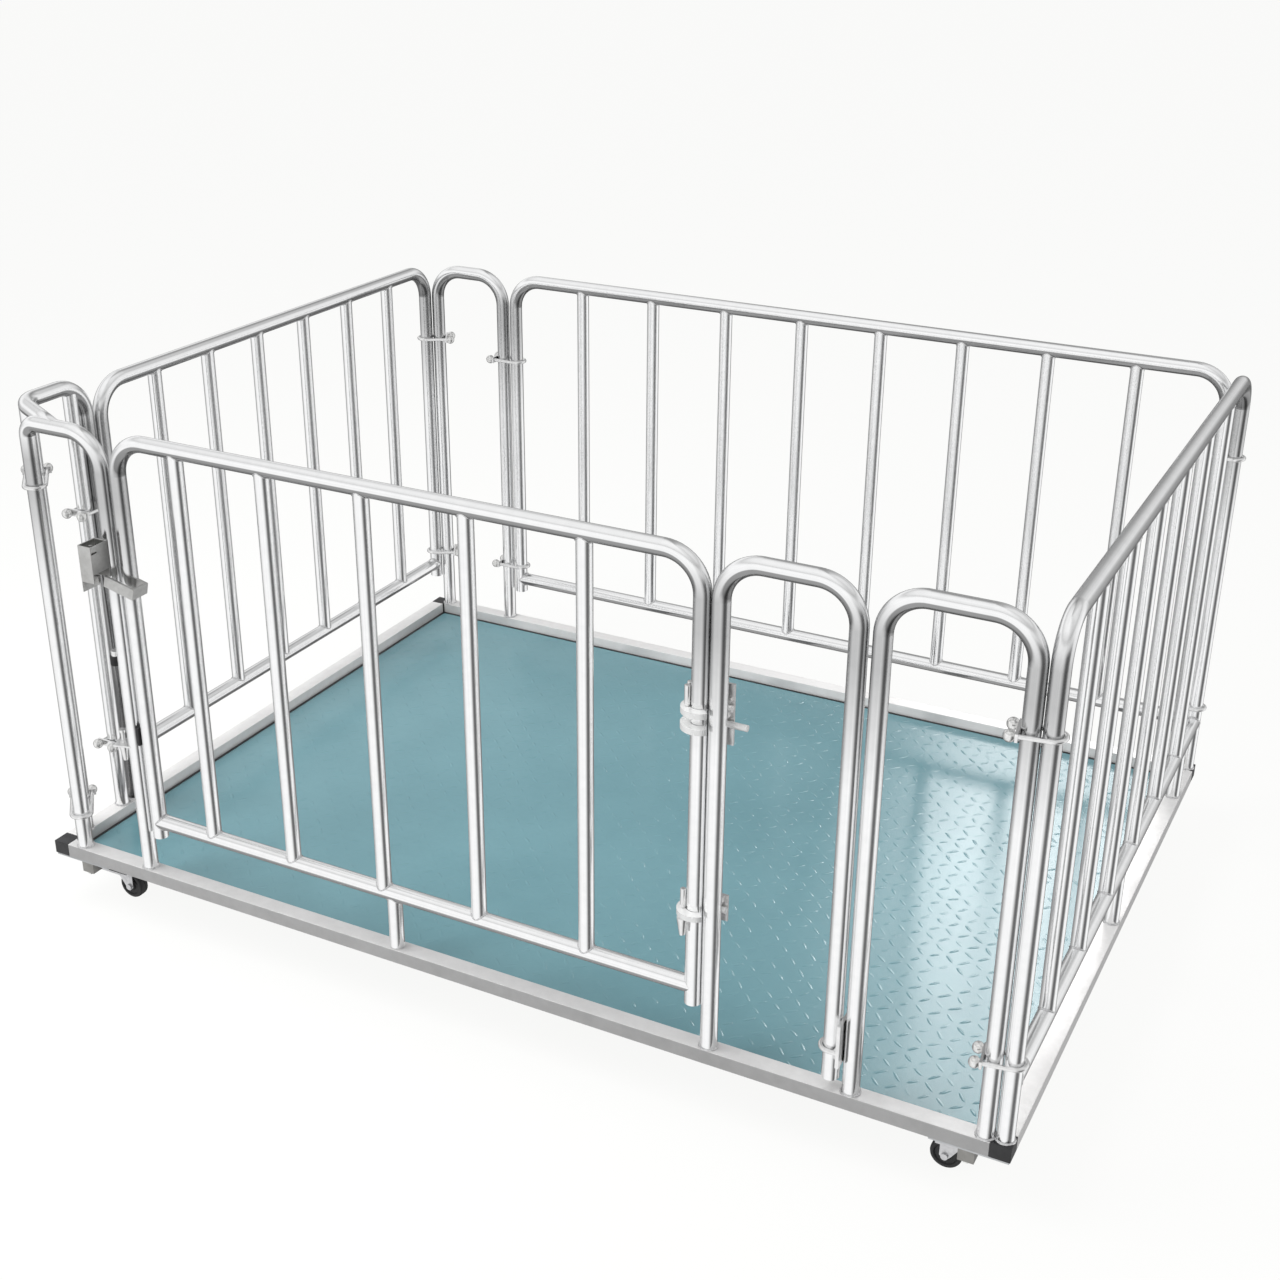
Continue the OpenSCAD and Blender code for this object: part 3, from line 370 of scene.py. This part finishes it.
def lug_points():
    """One lens-shaped lug along X: points in its own frame, and its faces."""
    across = 5
    rings = (-0.6, 0.0, 0.6)
    pts = [(-LUG_LENGTH / 2, 0.0, 0.0)]
    for t in rings:
        full = math.sqrt(1 - t * t)
        for i in range(across):
            a = math.pi * i / (across - 1)
            pts.append((t * LUG_LENGTH / 2,
                        -math.cos(a) * full * LUG_WIDTH / 2,
                        math.sin(a) * full * LUG_HEIGHT))
    pts.append((LUG_LENGTH / 2, 0.0, 0.0))
    last = len(pts) - 1
    faces = []
    for i in range(across - 1):
        faces.append((0, 2 + i, 1 + i))
        for r in range(len(rings) - 1):
            k = 1 + r * across + i
            faces.append((k, k + 1, k + across + 1, k + across))
        k = 1 + (len(rings) - 1) * across + i
        faces.append((k, k + 1, last))
    return pts, faces


def tread_lugs(mats):
    """Rows of low lugs that alternate between the two diagonals, none quite like the next."""
    lo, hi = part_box("deck_plate")
    pts, faces = lug_points()
    noise.seed_set(LUG_SEED)
    verts, all_faces = [], []
    nx = int((hi.x - lo.x) / 2 / LUG_PITCH)
    ny = int((hi.y - lo.y) / 2 / LUG_PITCH)
    for i in range(-nx, nx + 1):
        for j in range(-ny, ny + 1):
            x, y = i * LUG_PITCH, j * LUG_PITCH
            if abs(x) > hi.x - LUG_EDGE or abs(y) > hi.y - LUG_EDGE:
                continue
            odd = noise.noise_vector(Vector((i * LUG_STEPS[0], j * LUG_STEPS[1], 0.5)))
            angle = math.radians((45 if (i + j) % 2 else -45) + LUG_SWAY * odd.x)
            c, s = math.cos(angle), math.sin(angle)
            long = 1 + LUG_LONGER * odd.y
            tall = max(LUG_LEAST, LUG_TALL + LUG_TALLER * odd.z)
            base = len(verts)
            verts += [(x + c * px * long - s * py, y + s * px * long + c * py, hi.z - LUG_SUNK + pz * tall)
                      for px, py, pz in pts]
            all_faces += [tuple(base + k for k in f) for f in faces]
    lugs = piece("tread_lugs", verts, all_faces, "crate", mats["tread_plate"])
    lugs.visible_glossy = False


# Section of the dark strip round the deck, a painted shadow line against the rim: out from the plate's edge
# and up from its top, in millimetres
SHADOW_STRIP_SECTION = ((-3.2, -0.2), (-3.0, 0.5), (-2.0, 1.0), (0.6, 1.3), (1.9, 1.1), (2.4, 0.2), (2.4, -2.6),
                (0.3, -2.6), (0.3, -0.2))


def deck_seal(mats):
    """Black strip along the edge of the tread plate, against the rim, standing in for the shadow line in the
    gap there: painted shadow.
    """
    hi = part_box("deck_plate")[1]
    corners = ((-1, -1), (1, -1), (1, 1), (-1, 1))
    verts, faces = [], []
    n = len(SHADOW_STRIP_SECTION)
    for sx, sy in corners:
        for across, up in SHADOW_STRIP_SECTION:
            verts.append((sx * (hi.x + across * MM), sy * (hi.y + across * MM), hi.z + up * MM))
    for k in range(len(corners)):
        m = (k + 1) % len(corners)
        for s in range(n):
            t = (s + 1) % n
            faces.append((k * n + s, m * n + s, m * n + t, k * n + t))
    piece("deck_seal", verts, faces, "crate", mats["black_plastic"], smooth=False)


# Half of a wheel's section: radius and distance from the middle, in millimetres
WHEEL_SECTION = ((3.2, 10.5), (7.6, 10.5), (8.6, 10.1), (9.0, 9.2), (9.6, 7.6), (10.6, 7.0), (16.4, 7.0),
                 (17.4, 7.6), (17.9, 9.0), (18.8, 9.8), (20.6, 10.0), (22.6, 9.6), (24.1, 8.4), (24.8, 6.6),
                 (25.0, 4.0), (25.0, 1.6), (24.6, 1.2), (24.6, 0.0))


def wheels(mats, steps=56):
    """Turned wheels: a bored hub, a recessed web and a rounded tread with a groove."""
    section = list(WHEEL_SECTION) + [(r, -y) for r, y in reversed(WHEEL_SECTION[:-1])]
    n = len(section)
    for end in ("fl", "fr", "bl", "br"):
        at = middle(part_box("caster_wheel_" + end))
        verts, faces = [], []
        for k in range(steps):
            a = 2 * math.pi * k / steps
            for r, y in section:
                verts.append((at.x + r * MM * math.cos(a), at.y + y * MM, at.z + r * MM * math.sin(a)))
        for k in range(steps):
            m = (k + 1) % steps
            for s in range(n):
                t = (s + 1) % n
                faces.append((k * n + s, k * n + t, m * n + t, m * n + s))
        wheel = piece("wheel_" + end, verts, faces, "wheel_" + end, mats["wheel_rubber"])
        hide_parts("caster_wheel_" + end)


def swept_tube(path, radius, sides=40):
    """A closed tube along a path: its points and faces."""
    last = len(path) - 1
    verts, faces = [], []
    out = None
    for k, at in enumerate(path):
        along = (path[min(k + 1, last)] - path[max(k - 1, 0)]).normalized()
        out = along.orthogonal() if out is None else out - along * out.dot(along)
        out.normalize()
        third = along.cross(out)
        for s in range(sides):
            a = 2 * math.pi * s / sides
            verts.append(at + (out * math.cos(a) + third * math.sin(a)) * radius)
    for k in range(last):
        for s in range(sides):
            t = (s + 1) % sides
            faces.append((k * sides + s, k * sides + t, (k + 1) * sides + t, (k + 1) * sides + s))
    faces.append(tuple(reversed(range(sides))))
    faces.append(tuple(last * sides + s for s in range(sides)))
    return verts, faces


# The corner hoop's two bends: the radius of the upright one,
# and the radius, start along Y, turn and dip of the flat one
BEND_R = 60 * MM
TURN_R = 40 * MM
TURN_START = -557 * MM
TURN, DIP = math.radians(70), math.radians(8.3)
BEND_STEPS = 14


def corner_tube(mats):
    """The corner hoop, with its end run down into hoop A's rail and blended into it."""
    lo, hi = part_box("corner_hoop")
    side, leg, top = lo.x + TUBE_R, hi.y - TUBE_R, hi.z - TUBE_R
    across = Vector((math.cos(DIP), 0, -math.sin(DIP)))
    path = [Vector((side, leg, RIM_TOP))]
    for k in range(BEND_STEPS + 1):
        a = math.pi / 2 * k / BEND_STEPS
        path.append(Vector((side, leg - BEND_R + BEND_R * math.cos(a), top - BEND_R + BEND_R * math.sin(a))))
    for k in range(BEND_STEPS + 1):
        a = TURN * k / BEND_STEPS
        back = Vector((side, TURN_START - TURN_R * math.sin(a), top))
        path.append(back + across * TURN_R * (1 - math.cos(a)))
    ahead = across * math.sin(TURN) - Y * math.cos(TURN)
    end = path[-1]
    run = (end.y - middle(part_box("hoop_a")).y) / math.cos(TURN)
    path += [end + ahead * run * share for share in (0.5, 1.0)]
    verts, faces = swept_tube(path, TUBE_R)
    tube = piece("corner_tube", verts, faces, "crate", mats["frame_tube"])
    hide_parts("corner_hoop")


# Solids whose edges are rounded, with the radius in millimetres
ROUNDED = {
    "rim_front": 1.6, "rim_back": 1.6, "rim_left": 1.6, "rim_right": 1.6, "rim_caps": 2.4,
    "clamp_straps": 0.8, "tie_plate": 0.5, "hinge_plates": 0.9, "hinge_eyes": 1.6, "hinge_bolts": 0.5,
    "latch_box": 0.8, "latch_catch": 0.8, "strike_bar": 2.2, "gate_lugs": 1.2, "stop_fitting": 0.8,
    "stop_buffer": 1.5, "foot_plates": 0.8, "corner_plates": 0.8, "load_cells": 1.0, "caster_plates": 0.8,
    "junction_box": 2.0, "junction_lid": 1.0,
    "caster_fork_fl": 0.6, "caster_fork_fr": 0.6, "caster_fork_bl": 0.6, "caster_fork_br": 0.6,
}

# Of these, the ones whose look differs from the others of their slot; the back, left and right rims get a
# paler copy of the rim steel, painted as lit, and the hinge eyes a paler zinc, a painted highlight
LOOKS = {
    "latch_box": "dull_zinc", "latch_catch": "dull_zinc", "strike_bar": "dull_zinc",
    "rim_back": "rim_painted_lit", "rim_left": "rim_painted_lit", "rim_right": "rim_painted_lit",
    "hinge_eyes": "eye_painted_highlight_zinc",
}

# Faces that meet at less than the first angle become one; an edge with more than the second is rounded
FLAT_ANGLE = math.radians(0.3)
SHARP_ANGLE = math.radians(32)


def rounded_solids(mats):
    """Each of these solids again, with its sharp edges rounded."""
    for name, radius in ROUNDED.items():
        node = frame["nodes"][name]
        bm = bmesh.new()
        bm.from_mesh(node.data)
        bmesh.ops.remove_doubles(bm, verts=bm.verts, dist=0.002 * MM)
        bmesh.ops.dissolve_limit(bm, angle_limit=FLAT_ANGLE, use_dissolve_boundaries=False,
                                 verts=bm.verts, edges=bm.edges, delimit=set())
        sharp = [e for e in bm.edges if len(e.link_faces) == 2 and e.calc_face_angle(0) > SHARP_ANGLE]
        bmesh.ops.bevel(bm, geom=sharp, offset=radius * MM, offset_type="OFFSET", segments=3, profile=0.5,
                        affect="EDGES", clamp_overlap=True)
        for f in bm.faces:
            f.smooth = True
        mesh = bpy.data.meshes.new(name + "_rounded")
        bm.to_mesh(mesh)
        bm.free()
        mesh.materials.append(mats[LOOKS.get(name, slot_of(name))])
        obj = bpy.data.objects.new(name + "_rounded", mesh)
        bpy.context.scene.collection.objects.link(obj)
        obj.modifiers.new("normals", "WEIGHTED_NORMAL")
        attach(obj, body_of(node)[0])
        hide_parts(name)


# Weld beads

# A bead's ripples: the shares that alternate and that wander, and the noise's steps by metre and by point
RIPPLE, WANDER = 0.10, 0.22
WANDER_BY_METRE, WANDER_BY_POINT = 90, 0.55


def ripple(k, at):
    """Ripples of a hand-laid bead."""
    return 1 + RIPPLE * (-1) ** k + WANDER * noise.noise(at * WANDER_BY_METRE + X * WANDER_BY_POINT * k)


class Beads:
    """Weld beads that are gathered into one piece.

    Shares of a bead's size: proud is how far a saddle stands out, thin what is left of it at its sides,
    and clear how far a ring stands out and up.
    """

    sides = 6
    proud, thin, clear = 0.15, 0.55, 0.2

    def __init__(self):
        self.verts, self.faces = [], []

    def sweep(self, points, outs, radii):
        """A closed bead through the points, with its section in the plane of outs."""
        base, n = len(self.verts), len(points)
        for k in range(n):
            along = (points[(k + 1) % n] - points[k - 1]).normalized()
            out = (outs[k] - along * outs[k].dot(along)).normalized()
            third = along.cross(out)
            for s in range(self.sides):
                a = 2 * math.pi * s / self.sides
                self.verts.append(points[k] + (out * math.cos(a) + third * math.sin(a)) * radii[k])
        for k in range(n):
            for s in range(self.sides):
                a, b = base + k * self.sides, base + (k + 1) % n * self.sides
                t = (s + 1) % self.sides
                self.faces.append((a + s, a + t, b + t, b + s))

    def saddle(self, at, bar, rail, radius, size=1.7 * MM, steps=44):
        """Round the end of a bar of that radius that meets a frame tube or rail."""
        third = bar.cross(rail)
        points, outs, radii = [], [], []
        for k in range(steps):
            a = 2 * math.pi * (k + 0.5) / steps
            c, s = math.cos(a), math.sin(a)
            high = math.sqrt(TUBE_R ** 2 - (radius * s) ** 2)
            outs.append((rail * c + third * s + (bar * high + third * radius * s) / TUBE_R).normalized())
            points.append(at + (rail * c + third * s) * radius + bar * high + outs[-1] * size * self.proud)
            radii.append(size * (self.thin + (1 - self.thin) * abs(c)) * ripple(k, at))
        self.sweep(points, outs, radii)

    def ring(self, at, axis, radius, size=2.0 * MM, steps=40):
        """Round the foot of a tube on a flat."""
        side = axis.orthogonal().normalized()
        third = axis.cross(side)
        points, outs, radii = [], [], []
        for k in range(steps):
            a = 2 * math.pi * k / steps
            out = side * math.cos(a) + third * math.sin(a)
            outs.append((out + axis).normalized())
            points.append(at + out * (radius + size * self.clear) + axis * size * self.clear)
            radii.append(size * ripple(k, at))
        self.sweep(points, outs, radii)


def solids_of(name):
    """The separate solids of a node: their lowest and highest corners."""
    mesh = frame["nodes"][name].data
    group = list(range(len(mesh.vertices)))
    seen = {}
    for v in mesh.vertices:
        # Points that agree to a thousandth of a millimetre are one
        key = tuple(round(c, 6) for c in v.co)
        group[v.index] = seen.setdefault(key, v.index)

    def root(i):
        while group[i] != i:
            group[i] = group[group[i]]
            i = group[i]
        return i

    for e in mesh.edges:
        a, b = root(e.vertices[0]), root(e.vertices[1])
        if a != b:
            group[b] = a
    boxes = {}
    for v in mesh.vertices:
        lo, hi = boxes.setdefault(root(v.index), (v.co.copy(), v.co.copy()))
        for i in range(3):
            lo[i] = min(lo[i], v.co[i])
            hi[i] = max(hi[i], v.co[i])
    return list(boxes.values())


def leg_feet():
    """Where the frames' legs stand on the rim."""
    feet = []
    for name in ("hoop_a", "hoop_b", "hoop_c", "hoop_e"):
        lo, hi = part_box(name)
        feet.append((lo.x + TUBE_R, (lo.y + hi.y) / 2))
        # Hoop B's right leg ends above the rim
        if name != "hoop_b":
            feet.append((hi.x - TUBE_R, (lo.y + hi.y) / 2))
    lo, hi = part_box("panel_d_frame")
    feet += [((lo.x + hi.x) / 2, lo.y + TUBE_R), ((lo.x + hi.x) / 2, hi.y - TUBE_R)]
    lo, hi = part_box("corner_hoop")
    feet.append((lo.x + TUBE_R, hi.y - TUBE_R))
    post = middle(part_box("corner_post_side"))
    feet.append((post.x, post.y))
    return [Vector((x, y, RIM_TOP)) for x, y in feet]


# Along its panel, a rail is longer than the first length and a stub foot shorter than the second
RAIL_LEAST = 0.3
FOOT_MOST = 0.1


def weld_beads(mats):
    """Beads at the ends of bars and rails, and round the feet on the rim."""
    panels = (("gate", "gate", X), ("panel_d", "crate", Y), ("panel_f", "crate", X), ("panel_g", "crate", Y))
    made = {"crate": Beads(), "gate": Beads()}
    for name, body, way in panels:
        beads = made[body]
        for box in solids_of(name + "_bars"):
            at = middle(box)
            beads.saddle(Vector((at.x, at.y, RAIL_Z)), Z, way, BAR_R)
            beads.saddle(Vector((at.x, at.y, TOP_Z)), -Z, way, BAR_R)
        lower = solids_of(name + "_rail")
        for lo, hi in [b for b in lower if (b[1] - b[0]).dot(way) > RAIL_LEAST]:
            reach = (hi - lo).dot(way) / 2
            # No bead beside the hinges, where the opened gate's rail comes close to hoop B
            for sign in (-1,) if body == "gate" else (-1, 1):
                # The coped end's two points reach the middle of the leg
                leg = middle((lo, hi)) + way * sign * reach
                leg.z = RAIL_Z
                beads.saddle(leg, -way * sign, Z, TUBE_R)
        feet = [b for b in lower if (b[1] - b[0]).dot(way) < FOOT_MOST]
        if name == "panel_d":
            feet = solids_of("panel_d_feet")
        for box in feet:
            at = middle(box)
            beads.saddle(Vector((at.x, at.y, RAIL_Z)), -Z, way, BAR_R)
            if body == "crate":
                beads.ring(Vector((at.x, at.y, RIM_TOP)), Z, BAR_R)
    for at in leg_feet():
        made["crate"].ring(at, Z, TUBE_R)
    bar = middle(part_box("corner_bar"))
    made["crate"].ring(Vector((bar.x, bar.y, RIM_TOP)), Z, BAR_R)
    for body, beads in made.items():
        piece("weld_beads_" + body, beads.verts, beads.faces, body, mats["weld"])


# Stage

# Half the floor's length, its tones for light that bounces and for the eye,
# and the share of plain white in what the eye sees
FLOOR_REACH = 30.0
FLOOR_BOUNCE, FLOOR_PAPER = (0.35, 0.35, 0.35), (0.86, 0.865, 0.86)
FLOOR_SHOWN = 0.92
PAPER_WHITE = (1.0, 1.0, 0.99, 1)


def seen_directly(tree):
    """One for what the camera sees, straight or through glass, and nought for the light that things get."""
    path = add(tree, "ShaderNodeLightPath")
    return math_node(tree, "MAXIMUM", path.outputs["Is Camera Ray"], path.outputs["Is Transmission Ray"])


def make_stage():
    mesh = bpy.data.meshes.new("floor")
    corners = [(x * FLOOR_REACH, y * FLOOR_REACH, 0) for x, y in ((-1, -1), (1, -1), (1, 1), (-1, 1))]
    mesh.from_pydata(corners, [], [(0, 1, 2, 3)])
    floor = bpy.data.objects.new("floor", mesh)
    bpy.context.scene.collection.objects.link(floor)
    # Polished metal mirrors the studio's walls, which the world stands for, below the horizon too
    floor.visible_glossy = False
    m = bpy.data.materials.new("floor_paper")
    m.use_nodes = True
    tree = m.node_tree
    bsdf = tree.nodes["Principled BSDF"]
    bsdf.inputs["Roughness"].default_value = 0.9
    bsdf.inputs["Specular IOR Level"].default_value = 0.0
    glow = add(tree, "ShaderNodeEmission", Color=PAPER_WHITE, Strength=1.0)
    shown = seen_directly(tree)
    tree.links.new(tint(tree, shown, FLOOR_BOUNCE, FLOOR_PAPER), bsdf.inputs["Base Color"])
    share = math_node(tree, "MULTIPLY", shown, FLOOR_SHOWN)
    mix = add(tree, "ShaderNodeMixShader", i0=share, i1=bsdf.outputs[0], i2=glow.outputs[0])
    tree.links.new(mix.outputs[0], tree.nodes["Material Output"].inputs["Surface"])
    mesh.materials.append(m)


# Strength of the open background, which then looks like the far floor, of what metal mirrors,
# and of the soft light all round
BACKGROUND = 0.955
MIRRORED = 1.04
SOFT = 0.46
SOFT_TONE = (0.95, 0.97, 1.0, 1)

# What polished metal mirrors: tone by degrees round from the front (right is positive), low down and
# higher up; then by degrees of rise, how much of the higher one counts and how much of the tone is left
AROUND = ((-180, 0.20), (-135, 0.24), (-105, 0.34), (-80, 0.58), (-58, 0.95), (20, 1.0), (36, 0.70),
          (48, 0.28), (60, 0.12), (76, 0.14), (90, 0.34), (100, 0.96), (142, 0.96), (154, 0.40), (165, 0.20),
          (180, 0.20))
ABOVE = ((-180, 0.62), (-164, 0.36), (-156, 0.36), (-147, 0.76), (-135, 0.92), (-60, 1.0), (20, 1.0),
         (45, 0.80), (70, 0.70), (100, 0.85), (150, 0.85), (180, 0.62))
LIFT = ((-90, 0.0), (0, 0.0), (14, 1.0), (90, 1.0))
RISE = ((-90, 1.0), (24, 1.0), (31, 0.80), (36, 0.62), (41, 0.80), (52, 0.90), (66, 0.95), (90, 0.95))


def ramp(tree, value, stops):
    """A grey ramp over stops in degrees, as far below nought as above."""
    n = add(tree, "ShaderNodeValToRGB", Fac=value)
    line = n.color_ramp
    half = stops[-1][0]
    while len(line.elements) > 1:
        line.elements.remove(line.elements[-1])
    for k, (angle, tone) in enumerate(stops):
        place = (angle + half) / (2 * half)
        stop = line.elements[0] if k == 0 else line.elements.new(place)
        stop.position = place
        stop.color = (tone, tone, tone, 1)
    return n.outputs["Color"]


def make_world():
    """White for the camera, a studio of light and dark walls for mirrors, and soft light for the rest."""
    world = bpy.data.worlds.new("studio")
    bpy.context.scene.world = world
    world.use_nodes = True
    world.cycles.sampling_method = "NONE"
    tree = world.node_tree
    coord = add(tree, "ShaderNodeTexCoord")
    way = add(tree, "ShaderNodeSeparateXYZ", Vector=coord.outputs["Generated"]).outputs
    round_front = math_node(tree, "ARCTAN2", way["X"], math_node(tree, "MULTIPLY", way["Y"], -1.0))
    turn = spread(tree, round_front, -math.pi, math.pi, 0.0, 1.0)
    rise = spread(tree, math_node(tree, "ARCSINE", way["Z"]), -math.pi / 2, math.pi / 2, 0.0, 1.0)
    tone = add(tree, "ShaderNodeMix", {"data_type": "FLOAT"}, i0=ramp(tree, rise, LIFT),
               i2=ramp(tree, turn, AROUND), i3=ramp(tree, turn, ABOVE))
    seen = math_node(tree, "MULTIPLY", tone.outputs[0], ramp(tree, rise, RISE))
    mirrored = add(tree, "ShaderNodeBackground", Color=seen, Strength=MIRRORED)
    soft = add(tree, "ShaderNodeBackground", Color=SOFT_TONE, Strength=SOFT)
    white = tree.nodes["Background"]
    put(tree, white, "Color", PAPER_WHITE)
    put(tree, white, "Strength", BACKGROUND)
    is_glossy = add(tree, "ShaderNodeLightPath").outputs["Is Glossy Ray"]
    glossy = add(tree, "ShaderNodeMixShader", i0=is_glossy, i1=soft.outputs[0], i2=mirrored.outputs[0])
    mix = add(tree, "ShaderNodeMixShader", i0=seen_directly(tree), i1=glossy.outputs[0], i2=white.outputs[0])
    tree.links.new(mix.outputs[0], tree.nodes["World Output"].inputs["Surface"])


def area_light(name, place, target, size, power):
    data = bpy.data.lights.new(name, "AREA")
    data.shape = "RECTANGLE"
    data.size, data.size_y = size
    data.energy = power
    lamp = bpy.data.objects.new(name, data)
    lamp.location = place
    lamp.rotation_mode = "QUATERNION"
    lamp.rotation_quaternion = (Vector(target) - Vector(place)).to_track_quat("-Z", "Y")
    lamp.visible_glossy = False
    bpy.context.scene.collection.objects.link(lamp)
    return lamp


# Lamps: name, place, target, size and power in watts
LAMPS = (("key", (-2.4, -2.2, 3.2), (0, 0, 0.3), (2.4, 2.4), 85),
         ("top", (-1.2, -0.7, 2.4), (-0.9, -0.4, 0.0), (1.4, 1.4), 42),
         ("fill", (3.4, -1.2, 2.6), (0, 0, 0.4), (2.0, 2.0), 45))
# A long panel behind the crate, its turn, and the pieces that mirror it
SHEEN = ("sheen", (0.02, 4.35, 2.9), (0.02, 4.35, 0.0), (1.5, 3.2), 135)
SHEEN_TURN = math.radians(15)
SHEEN_ON = ("deck_plate", "tread_lugs", "rim_front_rounded", "rim_back_rounded", "rim_left_rounded",
            "rim_right_rounded")


def make_lights():
    for lamp in LAMPS:
        area_light(*lamp)
    # Only the deck and the rim mirror the panel, and it lights nothing else
    sheen = area_light(*SHEEN)
    sheen.rotation_quaternion = Matrix.Rotation(SHEEN_TURN, 3, "Z").to_quaternion()
    sheen.visible_glossy = True
    sheen.visible_diffuse = False
    mirrors = bpy.data.collections.new("sheen_mirrors")
    for obj in bpy.data.objects:
        if obj.name in SHEEN_ON:
            mirrors.objects.link(obj)
    sheen.light_linking.receiver_collection = mirrors


def main():
    bpy.context.scene.view_settings.view_transform = "Standard"
    make_camera()
    mats = make_materials()
    dress_nodes(mats)
    frame["nodes"]["deck_plate"].visible_glossy = False
    tread_lugs(mats)
    deck_seal(mats)
    wheels(mats)
    corner_tube(mats)
    rounded_solids(mats)
    weld_beads(mats)
    make_stage()
    make_world()
    make_lights()


main()
